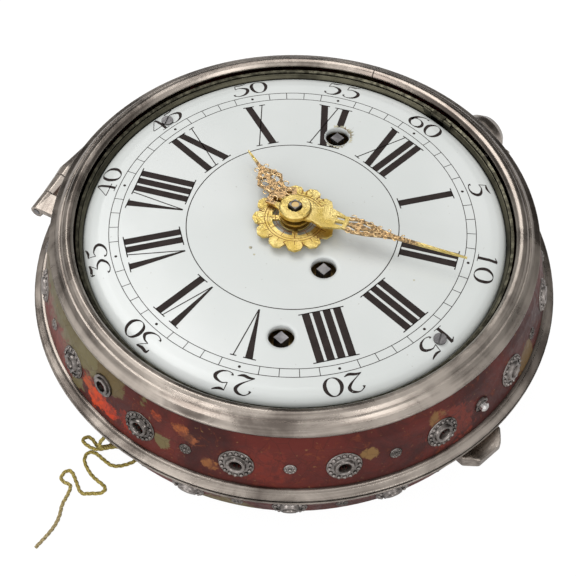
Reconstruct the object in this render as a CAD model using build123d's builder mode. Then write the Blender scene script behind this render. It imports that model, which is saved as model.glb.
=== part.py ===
from build123d import *
from math import acos, asin, atan2, cos, degrees, pi, radians, sin, sqrt, tan
import os

os.makedirs("parts", exist_ok=True)

# Coach clock lying on its back. Millimetres. The origin is the centre of the flat back, +Z points out of the
# dial, +Y to XII and +X to III. Heights of the dial side are counted from the face of the enamel.

# Dial and the circles drawn on it
DIAL_Z = 47.5
DIAL_R = 50.1
DIAL_THICK = 1.6
DIAL_RIM_DEPTH = 2.2
DIAL_FLAT_R = 46.4
DIAL_DROP = 1.75
WINDING_HOLE_R = 3.0
DIAL_SCREW_AT = 46.2
DIAL_SCREW_R = 1.5
DIAL_GAP = 0.1
SCREW_SHANK_R = 0.9
SCREW_HEAD = 0.5
SCREW_DEPTH = 1.8

# Outer case, front half
LIP_R = 52.15
LIP_Z = 1.3
CROWN_R = 53.6
CROWN_Z = 2.35
FLANGE_R = 58.0
FLANGE_Z = -0.4
FLANGE_THICK = 0.6
BAND_TOP_R = 57.4
BAND_FOOT_R = 61.45
BAND_FOOT_Z = -16.9
BAND_ARC_R = 60.0
BAND_WALL = 1.0
RING_BORE_R = 60.3
FRONT_RING_R = 63.8
FRONT_RING_THICK = 1.7
SEAM_GAP = 0.3

# Outer case, back half
BACK_RING_R = 64.0
BACK_RING_THICK = 2.0
SHELL_BASE_R = 35.0
SHELL_WALL = 1.0

# Rosettes, studs and eyelets round the case
ROSETTES = 16
ROSETTE_R = 4.0
ROSETTE_SIDES = 12
TUBE_SIDES = 8
ROSETTE_THICK = 0.5
SEAT_DEPTH = 0.15
TUBE_R = 2.2
TUBE_BORE_R = 1.45
TUBE_PROUD = 1.1
FRONT_ROW_Z = -10.7
STUD_R = 1.45
STUD_SIDES = 8
STUD_PROUD = 0.7
EYELET_R = 2.9
EYELET_Z = -6.9
EYELET_PROUD = 0.8

# Case hinge between VIII and IX
HINGE_MINUTE = 42.1
HINGE_AXIS_R = 67.2
HINGE_PIN_R = 0.8
KNUCKLES = 5
HINGE_BULB_R = 3.0
HINGE_END_R = 1.7
HINGE_HALF = 15.0
KNUCKLE_GAP = 0.15
LEAF_THICK = 1.5
RUN = 0.05

# Push pin and catch at III
PIN_R = 1.2
PIN_PROUD = 1.6
PIN_TRAVEL = 1.5
PIN_Z = -10.9
BUSH_INSIDE = 2.6
BUSH_LIP = 0.4
CATCH_GAP = 0.3
CATCH_WIDTH = 5.0
CATCH_THICK = 0.8
NIB_HEIGHT = 1.4
KEEPER_DEPTH = 1.8
KEEPER_REACH = 1.8

# Thumb lip, pendant and bow
LIP_MINUTE = 15.25
THUMB_R = 66.4
THUMB_WIDTH = 12.5
THUMB_TOP = -21.7
THUMB_HEIGHT = 4.2
THUMB_REACH = 7.0
SCOOP_R = 12.0
SCOOP_DEPTH = 0.9
PENDANT_Z = -22.5
PENDANT_R = 7.0
PENDANT_NECK_R = 4.4
PENDANT_END = 74.6
PENDANT_AXIS_R = 69.6
BOW_WIRE_R = 1.5
BOW_EYE_R = 2.6
BOW_EYE_THICK = 2.0
BOW_REACH = 22.0
BOW_PIN_R = 0.9

# Inner case, bell and the joint that carries the movement
CASE_R = 53.0
CASE_WALL = 0.8
MOUTH_R = 51.7
MOUTH_BORE_R = 51.05
MOUTH_Z = 0.2
MOUTH_FOOT_Z = -9.0
LEDGE_R = 50.2
LEDGE_Z = -3.0
BOWL_GAP = 0.08
SHOULDER_Z = -14.5
SOUND_HOLES = 12
SOUND_HOLE_R = 4.0
SOUND_HOLE_Z = 20.0
BELL_R = 42.0
BELL_RIM_Z = 13.5
BELL_FOOT_Z = 3.4
BELL_WALL = 1.2
BELL_FLAT_R = 7.0
BELL_STUD_R = 1.5
BELL_NUT_R = 3.0
BELL_NUT_THICK = 1.6
JOINT_Y = 50.2
JOINT_Z = 0.35
JOINT_R = 0.5
JOINT_PIN_R = 0.25
JOINT_KNUCKLE = 4.0
JOINT_HALF = 4.5

# Movement
DIAL_RING_R = 50.9
DIAL_RING_TOP = -0.35
SPIGOT_R = 49.9
SPIGOT_BORE_R = 44.6
FRONT_PLATE_TOP = -4.5
PLATE_THICK = 2.0
FRONT_PLATE_R = 48.4
BACK_PLATE_R = 43.0
PLATE_SPACE = 17.0
PILLAR_AT = 40.5
PILLAR_R = 1.9
PILLAR_ANGLES = (15, 75, 165, 235, 290)

# Winding arbors, one under each hole of the dial
STRIKE_AT = (-12.8, 27.2)
GOING_AT = (14.2, -4.5)
ALARM_AT = (21.3, -24.9)
WIND_ARBOR_R = 1.6
SQUARE = 2.4
SQUARE_TOP = -0.3
DRUM_LOW = 3.5
DRUM_HIGH = 12.5
GOING_DRUM_R = 9.5
STRIKE_DRUM_R = 12.0
ALARM_DRUM_R = 8.0
RATCHET_R = 4.5
RATCHET_TEETH = 12

# Hands, counted from the face of the enamel
ALARM_DISC_Z = 1.6
ALARM_DISC_R = 8.3
ALARM_LOBES = 12
ALARM_LOBE_R = 2.1
HOUR_HAND_Z = 3.2
MINUTE_HAND_Z = 5.0
HAND_THICK = 0.6
HOUR_LENGTH = 23.0
MINUTE_LENGTH = 41.6
HOUR_MINUTE = 47.4
MINUTE_MINUTE = 10.7
COLLAR_R = 3.8
SETTING_SQUARE = 2.5
SETTING_TOP = 7.1
COLLAR_THICK = 0.8
CENTRE_R = 1.0
CANNON_R = 1.5
HOUR_PIPE_R = 2.3

# Wheels: teeth, pitch sizes and places
MODULE = 0.4
ALARM_MODULE = 0.7
TOOTH_SHAPE = ((-0.3, -0.75), (0, 0.6), (0.3, -0.75))
GREAT_TEETH = 48
CENTRE_PINION = 8
CENTRE_TEETH = 42
THIRD_PINION = 6
THIRD_TEETH = 40
CONTRATE_PINION = 6
CONTRATE_TEETH = 30
ESCAPE_PINION = 6
ESCAPE_TEETH = 15
CANNON_TEETH = 10
MINUTE_TEETH = 30
MINUTE_PINION = 8
HOUR_TEETH = 32
STRIKE_TEETH = 36
STRIKE_MODULE = 0.68
ALARM_TEETH = 24
WHEEL_THICK = 1.0
GREAT_LIFT = 1.0
THIRD_DISTANCE = 13.0
THIRD_DIRECTION = 200
CONTRATE_DISTANCE = 11.2
CONTRATE_DIRECTION = 270
CONTRATE_PITCH_R = 8.6
CONTRATE_TOOTH = 1.1
CONTRATE_SLOT = 1.15
MOTION_DIRECTION = 120
MINUTE_STUD = 2.4
STUD_PIN_R = 0.6
TRAIN_ARBOR_R = 0.8

# Escapement
CROWN_R_OUT = 4.6
CROWN_TOOTH = 1.9
CROWN_AWAY = 4.6
POTENCE_X = -18.0
POTENCE_WIDTH = 3.1
BALANCE_AWAY = 16.4
BALANCE_R = 9.5
BALANCE_RIM = 1.2
STAFF_R = 0.6
FLAG_REACH = 1.7
FLAG_HEIGHT = 1.6
COCK_TABLE_R = 5.5
COCK_THICK = 1.6
COCK_FOOT = 12.6
SPRING_TURNS = 3
SPRING_START_R = 1.5
SPRING_END_R = 6.0
SPRING_WIRE = 0.3
SPRING_HEIGHT = 0.6

# Striking and repeating work under the back plate
HAMMER_AT = (20.0, 32.0)
HAMMER_HEAD_AT = (27.0, 23.8)
HAMMER_ARBOR_R = 1.0
HAMMER_R = 2.2
HAMMER_ARM = 1.2
HAMMER_HEAD = 5.0
HAMMER_DROP = 6.0
REPEAT_AT = (-3.0, -33.0)
PULLEY_R = 6.0

# Pull cord
CORD_R = 0.5
CORD_SIDES = 6
EXIT_RUN = 2.0

# Small round pieces are drawn with this many flat sides
SIDES = 10
RIM_SIDES = 24
SHELL_FACETS = (-90, -75, -60, -45.1, -32.6, -20.2, -5, 0)


def clock_angle(minute):
    return 90 - 6 * minute


def outward_plane(angle, radius, height, tilt):
    a = radians(angle)
    t = radians(tilt)
    return Plane(
        origin=(radius * cos(a), radius * sin(a), height),
        x_dir=(-sin(a), cos(a), 0),
        z_dir=(cos(a) * cos(t), sin(a) * cos(t), sin(t)),
    )


def save(builder, name):
    builder.part.label = name
    export_step(builder.part, f"parts/{name}.step")


def face_height(offset):
    return DIAL_Z + offset


# A pin has its corners on its circle, and a hole that it turns in has its sides outside it
def rod(radius, sides=SIDES, mode=Mode.ADD):
    return RegularPolygon(radius, sides, mode=mode)


def bore(radius, sides=SIDES, mode=Mode.ADD):
    return RegularPolygon(radius, sides, major_radius=False, mode=mode)


# Points on an arc of a profile, at the given angles
def arc_points(centre, radius, angles):
    return [(centre[0] + radius * cos(radians(a)), centre[1] + radius * sin(radians(a))) for a in angles]


# The band is an arc from under the flange to the joint ring, given by its two ends and its radius
def band_arc():
    top = (BAND_TOP_R, FLANGE_Z - FLANGE_THICK)
    foot = (BAND_FOOT_R, BAND_FOOT_Z)
    mid = ((top[0] + foot[0]) / 2, (top[1] + foot[1]) / 2)
    chord = sqrt((top[0] - foot[0]) ** 2 + (top[1] - foot[1]) ** 2)
    back = sqrt(BAND_ARC_R**2 - (chord / 2) ** 2)
    along = ((foot[0] - top[0]) / chord, (foot[1] - top[1]) / chord)
    return (mid[0] + along[1] * back, mid[1] - along[0] * back)


BAND_CENTRE = band_arc()
SEAM_Z = face_height(BAND_FOOT_Z - FRONT_RING_THICK)
BACK_SEAM_Z = SEAM_Z - SEAM_GAP
SHELL_TOP_Z = BACK_SEAM_Z - BACK_RING_THICK
SHELL_ARC_R = SHELL_TOP_Z
SHELL_TOP_R = SHELL_BASE_R + SHELL_ARC_R
HINGE_ANGLE = clock_angle(HINGE_MINUTE)
HINGE_Z = (SEAM_Z + BACK_SEAM_Z) / 2


# The facet of the band that carries the rosettes is centred on their row
def band_angles():
    low = degrees(asin((BAND_FOOT_Z - BAND_CENTRE[1]) / BAND_ARC_R))
    high = degrees(asin((FLANGE_Z - FLANGE_THICK - BAND_CENTRE[1]) / BAND_ARC_R))
    row = degrees(asin((FRONT_ROW_Z - BAND_CENTRE[1]) / BAND_ARC_R))
    return [high, 2 * row - low, low], row, row - low


BAND_ANGLES, ROW_RISE, HALF_FACET = band_angles()
ROW_R = BAND_ARC_R * cos(radians(HALF_FACET))


# Where a plane that touches the band at a height has its origin, and how it leans
def band_seat(offset):
    low, high = (1, 2) if offset < FRONT_ROW_Z + 4 else (0, 1)
    ends = arc_points(BAND_CENTRE, BAND_ARC_R, BAND_ANGLES)
    (r_high, z_high), (r_low, z_low) = ends[low], ends[high]
    share = (offset - z_low) / (z_high - z_low)
    lean = degrees(atan2(r_low - r_high, z_high - z_low))
    return r_low + share * (r_high - r_low), face_height(offset), lean


def band_profile(inset):
    points = []
    for angle in BAND_ANGLES:
        rise = BAND_ARC_R * sin(radians(angle))
        reach = sqrt((BAND_ARC_R - inset) ** 2 - rise**2)
        points.append((BAND_CENTRE[0] + reach, face_height(BAND_CENTRE[1] + rise)))
    return points


def shell_seat(angle):
    half = (SHELL_FACETS[-2] - SHELL_FACETS[-3]) / 2
    a = radians(angle)
    reach = SHELL_ARC_R * cos(radians(half))
    return SHELL_BASE_R + reach * cos(a), SHELL_ARC_R + reach * sin(a), angle


def row_angles(first):
    return [first + 360 * k / ROSETTES for k in range(ROSETTES)]


FRONT_SEAT = band_seat(FRONT_ROW_Z)
EYELET_SEAT = band_seat(EYELET_Z)
BACK_SEAT = shell_seat((SHELL_FACETS[-2] + SHELL_FACETS[-3]) / 2)
HALF_STEP = 180 / ROSETTES
PIN_ANGLE = clock_angle(15)
CORD_ANGLE = clock_angle(30)
PENDANT_ANGLE = clock_angle(0)
FRONT_ROSETTE_ANGLES = row_angles(PIN_ANGLE + HALF_STEP)
FRONT_STUD_ANGLES = [a for a in row_angles(PIN_ANGLE) if a % 360 not in (PIN_ANGLE % 360, CORD_ANGLE % 360)]
BACK_ROSETTE_ANGLES = [
    a for a in row_angles(PIN_ANGLE) if a % 360 not in (PIN_ANGLE % 360, CORD_ANGLE % 360, PENDANT_ANGLE % 360)
]
BACK_STUD_ANGLES = row_angles(PIN_ANGLE + HALF_STEP)


def cut_seats(angles, seat, width, sides, hole):
    planes = [outward_plane(angle, *seat) for angle in angles]
    with BuildSketch(*[plane.offset(-SEAT_DEPTH) for plane in planes]) as seat_face:
        bore(width, sides)
    extrude(seat_face.sketch, amount=2, mode=Mode.SUBTRACT)
    if hole > 0:
        with BuildSketch(*[plane.offset(-3) for plane in planes]) as bore_face:
            rod(hole, TUBE_SIDES)
        extrude(bore_face.sketch, amount=4, mode=Mode.SUBTRACT)


def add_tubes(angles, seat, width, sides, proud):
    planes = [outward_plane(angle, *seat) for angle in angles]
    with BuildSketch(*[plane.offset(-SEAT_DEPTH) for plane in planes]) as plate:
        rod(width, sides)
    extrude(plate.sketch, amount=ROSETTE_THICK)
    with BuildSketch(*[plane.offset(-SEAT_DEPTH) for plane in planes]) as tube:
        rod(TUBE_R, TUBE_SIDES)
    extrude(tube.sketch, amount=SEAT_DEPTH + proud)
    with BuildSketch(*[plane.offset(-2) for plane in planes]) as hole:
        rod(TUBE_BORE_R, TUBE_SIDES)
    extrude(hole.sketch, amount=4, mode=Mode.SUBTRACT)


def add_studs(angles, seat):
    planes = [outward_plane(angle, *seat) for angle in angles]
    with BuildSketch(*[plane.offset(-SEAT_DEPTH) for plane in planes]) as disc:
        rod(STUD_R, STUD_SIDES)
    extrude(disc.sketch, amount=SEAT_DEPTH + STUD_PROUD, taper=40)


def revolved(points):
    with BuildSketch(Plane.XZ) as section:
        with BuildLine():
            Polyline(*points, close=True)
        make_face()
    revolve(section.sketch, axis=Axis.Z)


# Silver bezel: lip, low crown, groove, bead, two steps and the flange over the band
with BuildPart() as front_bezel:
    revolved(
        [
            (LIP_R, face_height(LIP_Z - 0.4)),
            (LIP_R, face_height(LIP_Z)),
            (LIP_R + 0.6, face_height(CROWN_Z - 0.2)),
            (CROWN_R, face_height(CROWN_Z)),
            (CROWN_R + 0.9, face_height(CROWN_Z - 0.35)),
            (CROWN_R + 1.6, face_height(CROWN_Z - 1.2)),
            (CROWN_R + 2.0, face_height(CROWN_Z - 1.15)),
            (CROWN_R + 2.5, face_height(CROWN_Z - 1.7)),
            (FLANGE_R - 1.4, face_height(FLANGE_Z + 0.6)),
            (FLANGE_R, face_height(FLANGE_Z)),
            (FLANGE_R, face_height(FLANGE_Z - FLANGE_THICK)),
            (BAND_TOP_R - BAND_WALL - 0.4, face_height(FLANGE_Z - FLANGE_THICK)),
            (CROWN_R + 1.4, face_height(0.1)),
        ]
    )
save(front_bezel, "front_bezel")

# Horn-covered band, pierced for the sound, the push pin and the eyelet
with BuildPart() as front_band:
    revolved(band_profile(0) + list(reversed(band_profile(BAND_WALL))))
    cut_seats(FRONT_ROSETTE_ANGLES, FRONT_SEAT, ROSETTE_R, ROSETTE_SIDES, TUBE_BORE_R)
    cut_seats(FRONT_STUD_ANGLES, FRONT_SEAT, STUD_R, STUD_SIDES, 0)
    cut_seats([CORD_ANGLE], EYELET_SEAT, EYELET_R, ROSETTE_SIDES, TUBE_BORE_R)
    with BuildSketch(outward_plane(PIN_ANGLE, 0, face_height(PIN_Z), 0).offset(BAND_TOP_R - 3)):
        rod(PIN_R + 0.8)
    extrude(amount=8, mode=Mode.SUBTRACT)
save(front_band, "front_band")

with BuildPart() as front_rosettes:
    add_tubes(FRONT_ROSETTE_ANGLES, FRONT_SEAT, ROSETTE_R, ROSETTE_SIDES, TUBE_PROUD)
save(front_rosettes, "front_rosettes")

with BuildPart() as front_studs:
    add_studs(FRONT_STUD_ANGLES, FRONT_SEAT)
save(front_studs, "front_studs")

# Plain eyelet at VI, with no beads
with BuildPart() as front_eyelet:
    add_tubes([CORD_ANGLE], EYELET_SEAT, EYELET_R, ROSETTE_SIDES, EYELET_PROUD)
save(front_eyelet, "front_eyelet")

# Bush that guides the push pin through the band
pin_seat = band_seat(PIN_Z)
with BuildPart() as pin_bush:
    with BuildSketch(outward_plane(PIN_ANGLE, pin_seat[0] - BUSH_INSIDE, face_height(PIN_Z), 0)):
        rod(PIN_R + 0.8)
        bore(PIN_R + RUN, mode=Mode.SUBTRACT)
    extrude(amount=BUSH_INSIDE + BUSH_LIP / 2)
save(pin_bush, "pin_bush")


# Front joint ring with a bead at its top edge and a groove below it
with BuildPart() as front_joint_ring:
    top = SEAM_Z + FRONT_RING_THICK
    revolved(
        [
            (RING_BORE_R, SEAM_Z),
            (FRONT_RING_R, SEAM_Z),
            (FRONT_RING_R, SEAM_Z + 0.5),
            (BAND_FOOT_R + 0.9, top - 0.75),
            (BAND_FOOT_R + 0.6, top),
            (RING_BORE_R, top),
        ]
    )
save(front_joint_ring, "front_joint_ring")

with BuildPart() as back_joint_ring:
    revolved(
        [
            (RING_BORE_R, BACK_SEAM_Z),
            (BACK_RING_R, BACK_SEAM_Z),
            (BACK_RING_R, BACK_SEAM_Z - 0.6),
            (BACK_RING_R - 0.5, BACK_SEAM_Z - 1.2),
            (SHELL_TOP_R + 0.6, SHELL_TOP_Z),
            (RING_BORE_R, SHELL_TOP_Z),
        ]
    )
save(back_joint_ring, "back_joint_ring")

# Back shell: a flat round base and a quarter-round wall up to the ring
def shell_points(radius, facets):
    return [(0, SHELL_ARC_R - radius)] + arc_points((SHELL_BASE_R, SHELL_ARC_R), radius, facets)


with BuildPart() as back_shell:
    inside = shell_points(SHELL_ARC_R - SHELL_WALL, SHELL_FACETS[:4] + SHELL_FACETS[5:6] + SHELL_FACETS[7:])
    revolved(shell_points(SHELL_ARC_R, SHELL_FACETS) + list(reversed(inside)))
    cut_seats(BACK_ROSETTE_ANGLES, BACK_SEAT, ROSETTE_R, ROSETTE_SIDES, TUBE_BORE_R)
    cut_seats(BACK_STUD_ANGLES, BACK_SEAT, STUD_R, STUD_SIDES, 0)
    cut_seats([CORD_ANGLE], BACK_SEAT, EYELET_R, ROSETTE_SIDES, TUBE_BORE_R)
save(back_shell, "back_shell")

with BuildPart() as back_rosettes:
    add_tubes(BACK_ROSETTE_ANGLES, BACK_SEAT, ROSETTE_R, ROSETTE_SIDES, TUBE_PROUD)
save(back_rosettes, "back_rosettes")

with BuildPart() as back_studs:
    add_studs(BACK_STUD_ANGLES, BACK_SEAT)
save(back_studs, "back_studs")

# Eyelet at VI in the back shell, filled by a bush with a bore the size of the cord
cord_plane = outward_plane(CORD_ANGLE, *BACK_SEAT)
with BuildPart() as cord_eyelet:
    add_tubes([CORD_ANGLE], BACK_SEAT, EYELET_R, ROSETTE_SIDES, EYELET_PROUD)
save(cord_eyelet, "cord_eyelet")

with BuildPart() as cord_bush:
    with BuildSketch(cord_plane.offset(-SHELL_WALL)):
        rod(TUBE_BORE_R, TUBE_SIDES)
        bore(CORD_R, CORD_SIDES, mode=Mode.SUBTRACT)
    extrude(amount=SHELL_WALL + BUSH_LIP)
save(cord_bush, "cord_bush")

# Case hinge: five turned knuckles on a pin, with a bulb in the middle and tapering ends
hinge_dir = (cos(radians(HINGE_ANGLE)), sin(radians(HINGE_ANGLE)))
hinge_origin = (HINGE_AXIS_R * hinge_dir[0], HINGE_AXIS_R * hinge_dir[1], HINGE_Z)
HINGE_PLANE = Plane(origin=hinge_origin, x_dir=(-hinge_dir[1], hinge_dir[0], 0), z_dir=(0, 0, 1))
HINGE_MIDDLE = Plane(origin=hinge_origin, x_dir=(0, 0, 1), z_dir=(-hinge_dir[1], hinge_dir[0], 0))
KNUCKLE_STEP = 2 * HINGE_HALF / KNUCKLES


# Outer radius of the hinge at a share of its half length from the middle
def hinge_radius(share):
    return HINGE_END_R + (HINGE_BULB_R - HINGE_END_R) * (1 - abs(share)) ** 1.6


def keep_knuckles(odd, leaf_low, leaf_high, ring_r, hole):
    cut = KNUCKLE_STEP - KNUCKLE_GAP
    for k in range(KNUCKLES):
        if k % 2 == odd:
            middle = -HINGE_HALF + (k + 0.5) * KNUCKLE_STEP
            stations = [middle - cut / 2, middle + cut / 2]
            if abs(middle) < 1:
                stations.insert(1, middle)
            for near, far in zip(stations[:-1], stations[1:]):
                with BuildSketch(HINGE_MIDDLE.offset(near)) as first:
                    rod(hinge_radius(near / HINGE_HALF))
                with BuildSketch(HINGE_MIDDLE.offset(far)) as second:
                    rod(hinge_radius(far / HINGE_HALF))
                loft([first.sketch, second.sketch])
            with BuildSketch(HINGE_PLANE.offset(leaf_low)) as leaf:
                with Locations((middle, 0)):
                    Rectangle(cut, HINGE_AXIS_R - ring_r + 3, align=(Align.CENTER, Align.MIN))
            extrude(leaf.sketch, amount=leaf_high - leaf_low)
    with BuildSketch(Plane.XY.offset(HINGE_Z - 5)) as ring_disc:
        Circle(ring_r)
    extrude(ring_disc.sketch, amount=10, mode=Mode.SUBTRACT)
    with BuildSketch(HINGE_MIDDLE.offset(-HINGE_HALF - 1)) as pin_hole:
        bore(hole)
    extrude(pin_hole.sketch, amount=2 * HINGE_HALF + 2, mode=Mode.SUBTRACT)


with BuildPart() as front_hinge:
    keep_knuckles(0, SEAM_GAP / 2, SEAM_GAP / 2 + LEAF_THICK, FRONT_RING_R, HINGE_PIN_R + RUN)
save(front_hinge, "front_hinge")

with BuildPart() as back_hinge:
    keep_knuckles(1, -SEAM_GAP / 2 - LEAF_THICK, -SEAM_GAP / 2, BACK_RING_R, HINGE_PIN_R)
save(back_hinge, "back_hinge")

with BuildPart() as hinge_pin:
    with BuildSketch(HINGE_MIDDLE.offset(-HINGE_HALF)):
        rod(HINGE_PIN_R)
    extrude(amount=2 * HINGE_HALF)
save(hinge_pin, "hinge_pin")

# Closed outline of the back half, used to trim what sits against its outside
with BuildPart() as back_form:
    revolved(
        [
            (0, SHELL_TOP_Z),
            (SHELL_TOP_R + 0.6, SHELL_TOP_Z),
            (BACK_RING_R - 0.5, BACK_SEAM_Z - 1.2),
            (BACK_RING_R, BACK_SEAM_Z - 0.6),
            (BACK_RING_R, BACK_SEAM_Z),
            (0, BACK_SEAM_Z),
        ]
    )
    revolved(shell_points(SHELL_ARC_R, SHELL_FACETS) + [(0, SHELL_ARC_R)])

# Push pin with a rounded head, riveted into the catch plate behind the band
catch_face = pin_seat[0] - BUSH_INSIDE - CATCH_GAP
catch_back = catch_face - CATCH_THICK
pin_height = face_height(PIN_Z)
PIN_PLANE = outward_plane(PIN_ANGLE, 0, pin_height, 0)
with BuildPart() as push_pin:
    with BuildSketch(PIN_PLANE.offset(catch_back - 0.4)):
        rod(PIN_R)
    extrude(amount=pin_seat[0] + PIN_PROUD - catch_back + 0.4)
    chamfer(push_pin.edges().group_by(Axis.X)[-1], PIN_R * 0.35)
save(push_pin, "push_pin")

keeper_high = BACK_SEAM_Z - 0.2
keeper_low = BACK_SEAM_Z - KEEPER_DEPTH
nib_high = keeper_low - SEAM_GAP
keeper_face = RING_BORE_R - KEEPER_REACH
nib_face = keeper_face - SEAM_GAP
with BuildPart() as catch_plate:
    with BuildSketch(PIN_PLANE.offset(catch_back)):
        rod(CATCH_WIDTH / 2)
        with Locations((0, 0)):
            Rectangle(CATCH_WIDTH, pin_height - nib_high + NIB_HEIGHT, align=(Align.CENTER, Align.MAX))
        rod(PIN_R, mode=Mode.SUBTRACT)
    extrude(amount=CATCH_THICK)
    with BuildSketch(Plane.XZ.offset(-CATCH_WIDTH / 2)):
        with BuildLine():
            Polyline(
                (catch_back, nib_high),
                (nib_face - 0.3, nib_high),
                (nib_face, nib_high - 0.3),
                (catch_face, nib_high - NIB_HEIGHT),
                (catch_back, nib_high - NIB_HEIGHT),
                close=True,
            )
        make_face()
    extrude(amount=CATCH_WIDTH)
save(catch_plate, "catch_plate")

with BuildPart() as catch_keeper:
    with BuildSketch(Plane.XY.offset(keeper_low)):
        Circle(RING_BORE_R)
        Circle(keeper_face, mode=Mode.SUBTRACT)
        with Locations((RING_BORE_R, 0)):
            Rectangle(2 * KEEPER_REACH + 2, CATCH_WIDTH, mode=Mode.INTERSECT)
    extrude(amount=keeper_high - keeper_low)
save(catch_keeper, "catch_keeper")

# Thumb lip under the ring, scooped on top, its inner side following the shell
with BuildPart() as thumb_lip:
    lip_plane = Plane(
        origin=(0, 0, face_height(THUMB_TOP) - THUMB_HEIGHT),
        x_dir=(cos(radians(clock_angle(LIP_MINUTE))), sin(radians(clock_angle(LIP_MINUTE))), 0),
        z_dir=(0, 0, 1),
    )
    with BuildSketch(lip_plane):
        with Locations((THUMB_R, 0)):
            Rectangle(2 * THUMB_REACH, THUMB_WIDTH, align=(Align.MAX, Align.CENTER))
    extrude(amount=THUMB_HEIGHT)
    outer_face = thumb_lip.faces().sort_by(Axis.X)[-1]
    chamfer(outer_face.edges().filter_by(Axis.Z), THUMB_REACH * 0.4)
    chamfer(thumb_lip.faces().sort_by(Axis.Z)[0].edges(), 0.9)
    add(back_form.part, mode=Mode.SUBTRACT)
    scoop_axis = Plane(lip_plane.offset(THUMB_HEIGHT + SCOOP_R - SCOOP_DEPTH).origin, z_dir=lip_plane.x_dir)
    with BuildSketch(scoop_axis.offset(SHELL_TOP_R)):
        Circle(SCOOP_R)
    extrude(amount=THUMB_REACH, mode=Mode.SUBTRACT)
save(thumb_lip, "thumb_lip")

# Pendant at XII: a neck and a turned bulb bored for the bow pin
PENDANT_PLANE = Plane(origin=(0, 0, face_height(PENDANT_Z)), x_dir=(0, 1, 0), z_dir=(1, 0, 0))
with BuildPart() as pendant:
    neck_turn = 180 - degrees(asin(PENDANT_NECK_R / PENDANT_R))
    end_turn = degrees(acos((PENDANT_END - PENDANT_AXIS_R) / PENDANT_R))
    turns = [neck_turn + (end_turn - neck_turn) * k / 5 for k in range(6)]
    with BuildSketch(PENDANT_PLANE):
        with BuildLine():
            Polyline(
                (SHELL_TOP_R - 4, 0),
                (SHELL_TOP_R - 4, PENDANT_NECK_R),
                *arc_points((PENDANT_AXIS_R, 0), PENDANT_R, turns),
                (PENDANT_END, 0),
                close=True,
            )
        make_face()
    revolve(axis=Axis((0, 0, face_height(PENDANT_Z)), (0, 1, 0)))
    add(back_form.part, mode=Mode.SUBTRACT)
    with BuildSketch(Plane.XY.offset(BACK_SEAM_Z)):
        Circle(FRONT_RING_R + 2 * SEAM_GAP)
    extrude(amount=PENDANT_R, mode=Mode.SUBTRACT)
    with BuildSketch(Plane(origin=(0, PENDANT_AXIS_R, face_height(PENDANT_Z)), z_dir=(1, 0, 0))):
        rod(BOW_PIN_R)
    extrude(amount=PENDANT_R + 1, both=True, mode=Mode.SUBTRACT)
save(pendant, "pendant")

BOW_AXIS = Plane(origin=(0, PENDANT_AXIS_R, face_height(PENDANT_Z)), z_dir=(1, 0, 0))
bow_half = PENDANT_R + SEAM_GAP + BOW_EYE_THICK / 2
with BuildPart() as bow_pin:
    with BuildSketch(BOW_AXIS):
        rod(BOW_PIN_R)
    extrude(amount=bow_half + BOW_EYE_THICK / 2 + 0.3, both=True)
save(bow_pin, "bow_pin")

# Bow: a wire stirrup with an eye at each end, hanging straight down from the pendant
with BuildPart() as bow:
    bow_plane = Plane(origin=BOW_AXIS.origin, x_dir=(1, 0, 0), z_dir=(0, -1, 0))
    with BuildLine(bow_plane) as bow_path:
        bow_turn = BOW_REACH - bow_half - BOW_WIRE_R
        Line((bow_half, -BOW_EYE_R * 0.7), (bow_half, -bow_turn))
        CenterArc((0, -bow_turn), bow_half, 0, -180)
        Line((-bow_half, -bow_turn), (-bow_half, -BOW_EYE_R * 0.7))
    with BuildSketch(Plane(origin=bow_path.line @ 0, z_dir=bow_path.line % 0)):
        rod(BOW_WIRE_R, TUBE_SIDES)
    sweep(path=bow_path.line)
    with BuildSketch(BOW_AXIS.offset(bow_half - BOW_EYE_THICK / 2), BOW_AXIS.offset(-bow_half - BOW_EYE_THICK / 2)):
        rod(BOW_EYE_R)
    extrude(amount=BOW_EYE_THICK)
    with BuildSketch(BOW_AXIS):
        bore(BOW_PIN_R + RUN)
    extrude(amount=BOW_REACH, both=True, mode=Mode.SUBTRACT)
save(bow, "bow")

# Inner case: a bowl that sits in the back shell, a wall pierced for the bell, a sloping shoulder and a mouth
joint_z = face_height(JOINT_Z)
with BuildPart() as inner_case:
    foot = SHELL_WALL + BOWL_GAP
    bowl = shell_points(SHELL_ARC_R - foot, SHELL_FACETS[:4])
    lining = shell_points(SHELL_ARC_R - foot - CASE_WALL, SHELL_FACETS[:3])
    case_bore = bowl[-1][0] - CASE_WALL
    revolved(
        bowl
        + [
            (bowl[-1][0], face_height(SHOULDER_Z)),
            (MOUTH_R, face_height(MOUTH_FOOT_Z)),
            (MOUTH_R, face_height(MOUTH_Z)),
            (MOUTH_BORE_R, face_height(MOUTH_Z - 0.2)),
            (MOUTH_BORE_R, face_height(LEDGE_Z)),
            (LEDGE_R, face_height(LEDGE_Z)),
            (LEDGE_R, face_height(MOUTH_FOOT_Z)),
            (case_bore, face_height(SHOULDER_Z) - 0.3),
            (case_bore, lining[-1][1] + 5),
        ]
        + list(reversed(lining))
    )
    sound_planes = [
        outward_plane(360 * k / SOUND_HOLES + 15, CASE_R - 2, SOUND_HOLE_Z, 0) for k in range(SOUND_HOLES)
    ]
    with BuildSketch(*sound_planes):
        rod(SOUND_HOLE_R)
    extrude(amount=4, mode=Mode.SUBTRACT)
    # The middle knuckle of the movement joint stands on the mouth at XII
    with BuildSketch(Plane.YZ.offset(-JOINT_KNUCKLE / 2)):
        with Locations((JOINT_Y, joint_z)):
            rod(JOINT_R)
            Rectangle(MOUTH_BORE_R - JOINT_Y + 0.2, 2 * JOINT_R, align=(Align.MIN, Align.CENTER))
            rod(JOINT_PIN_R, mode=Mode.SUBTRACT)
    extrude(amount=JOINT_KNUCKLE)
save(inner_case, "inner_case")

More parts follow.
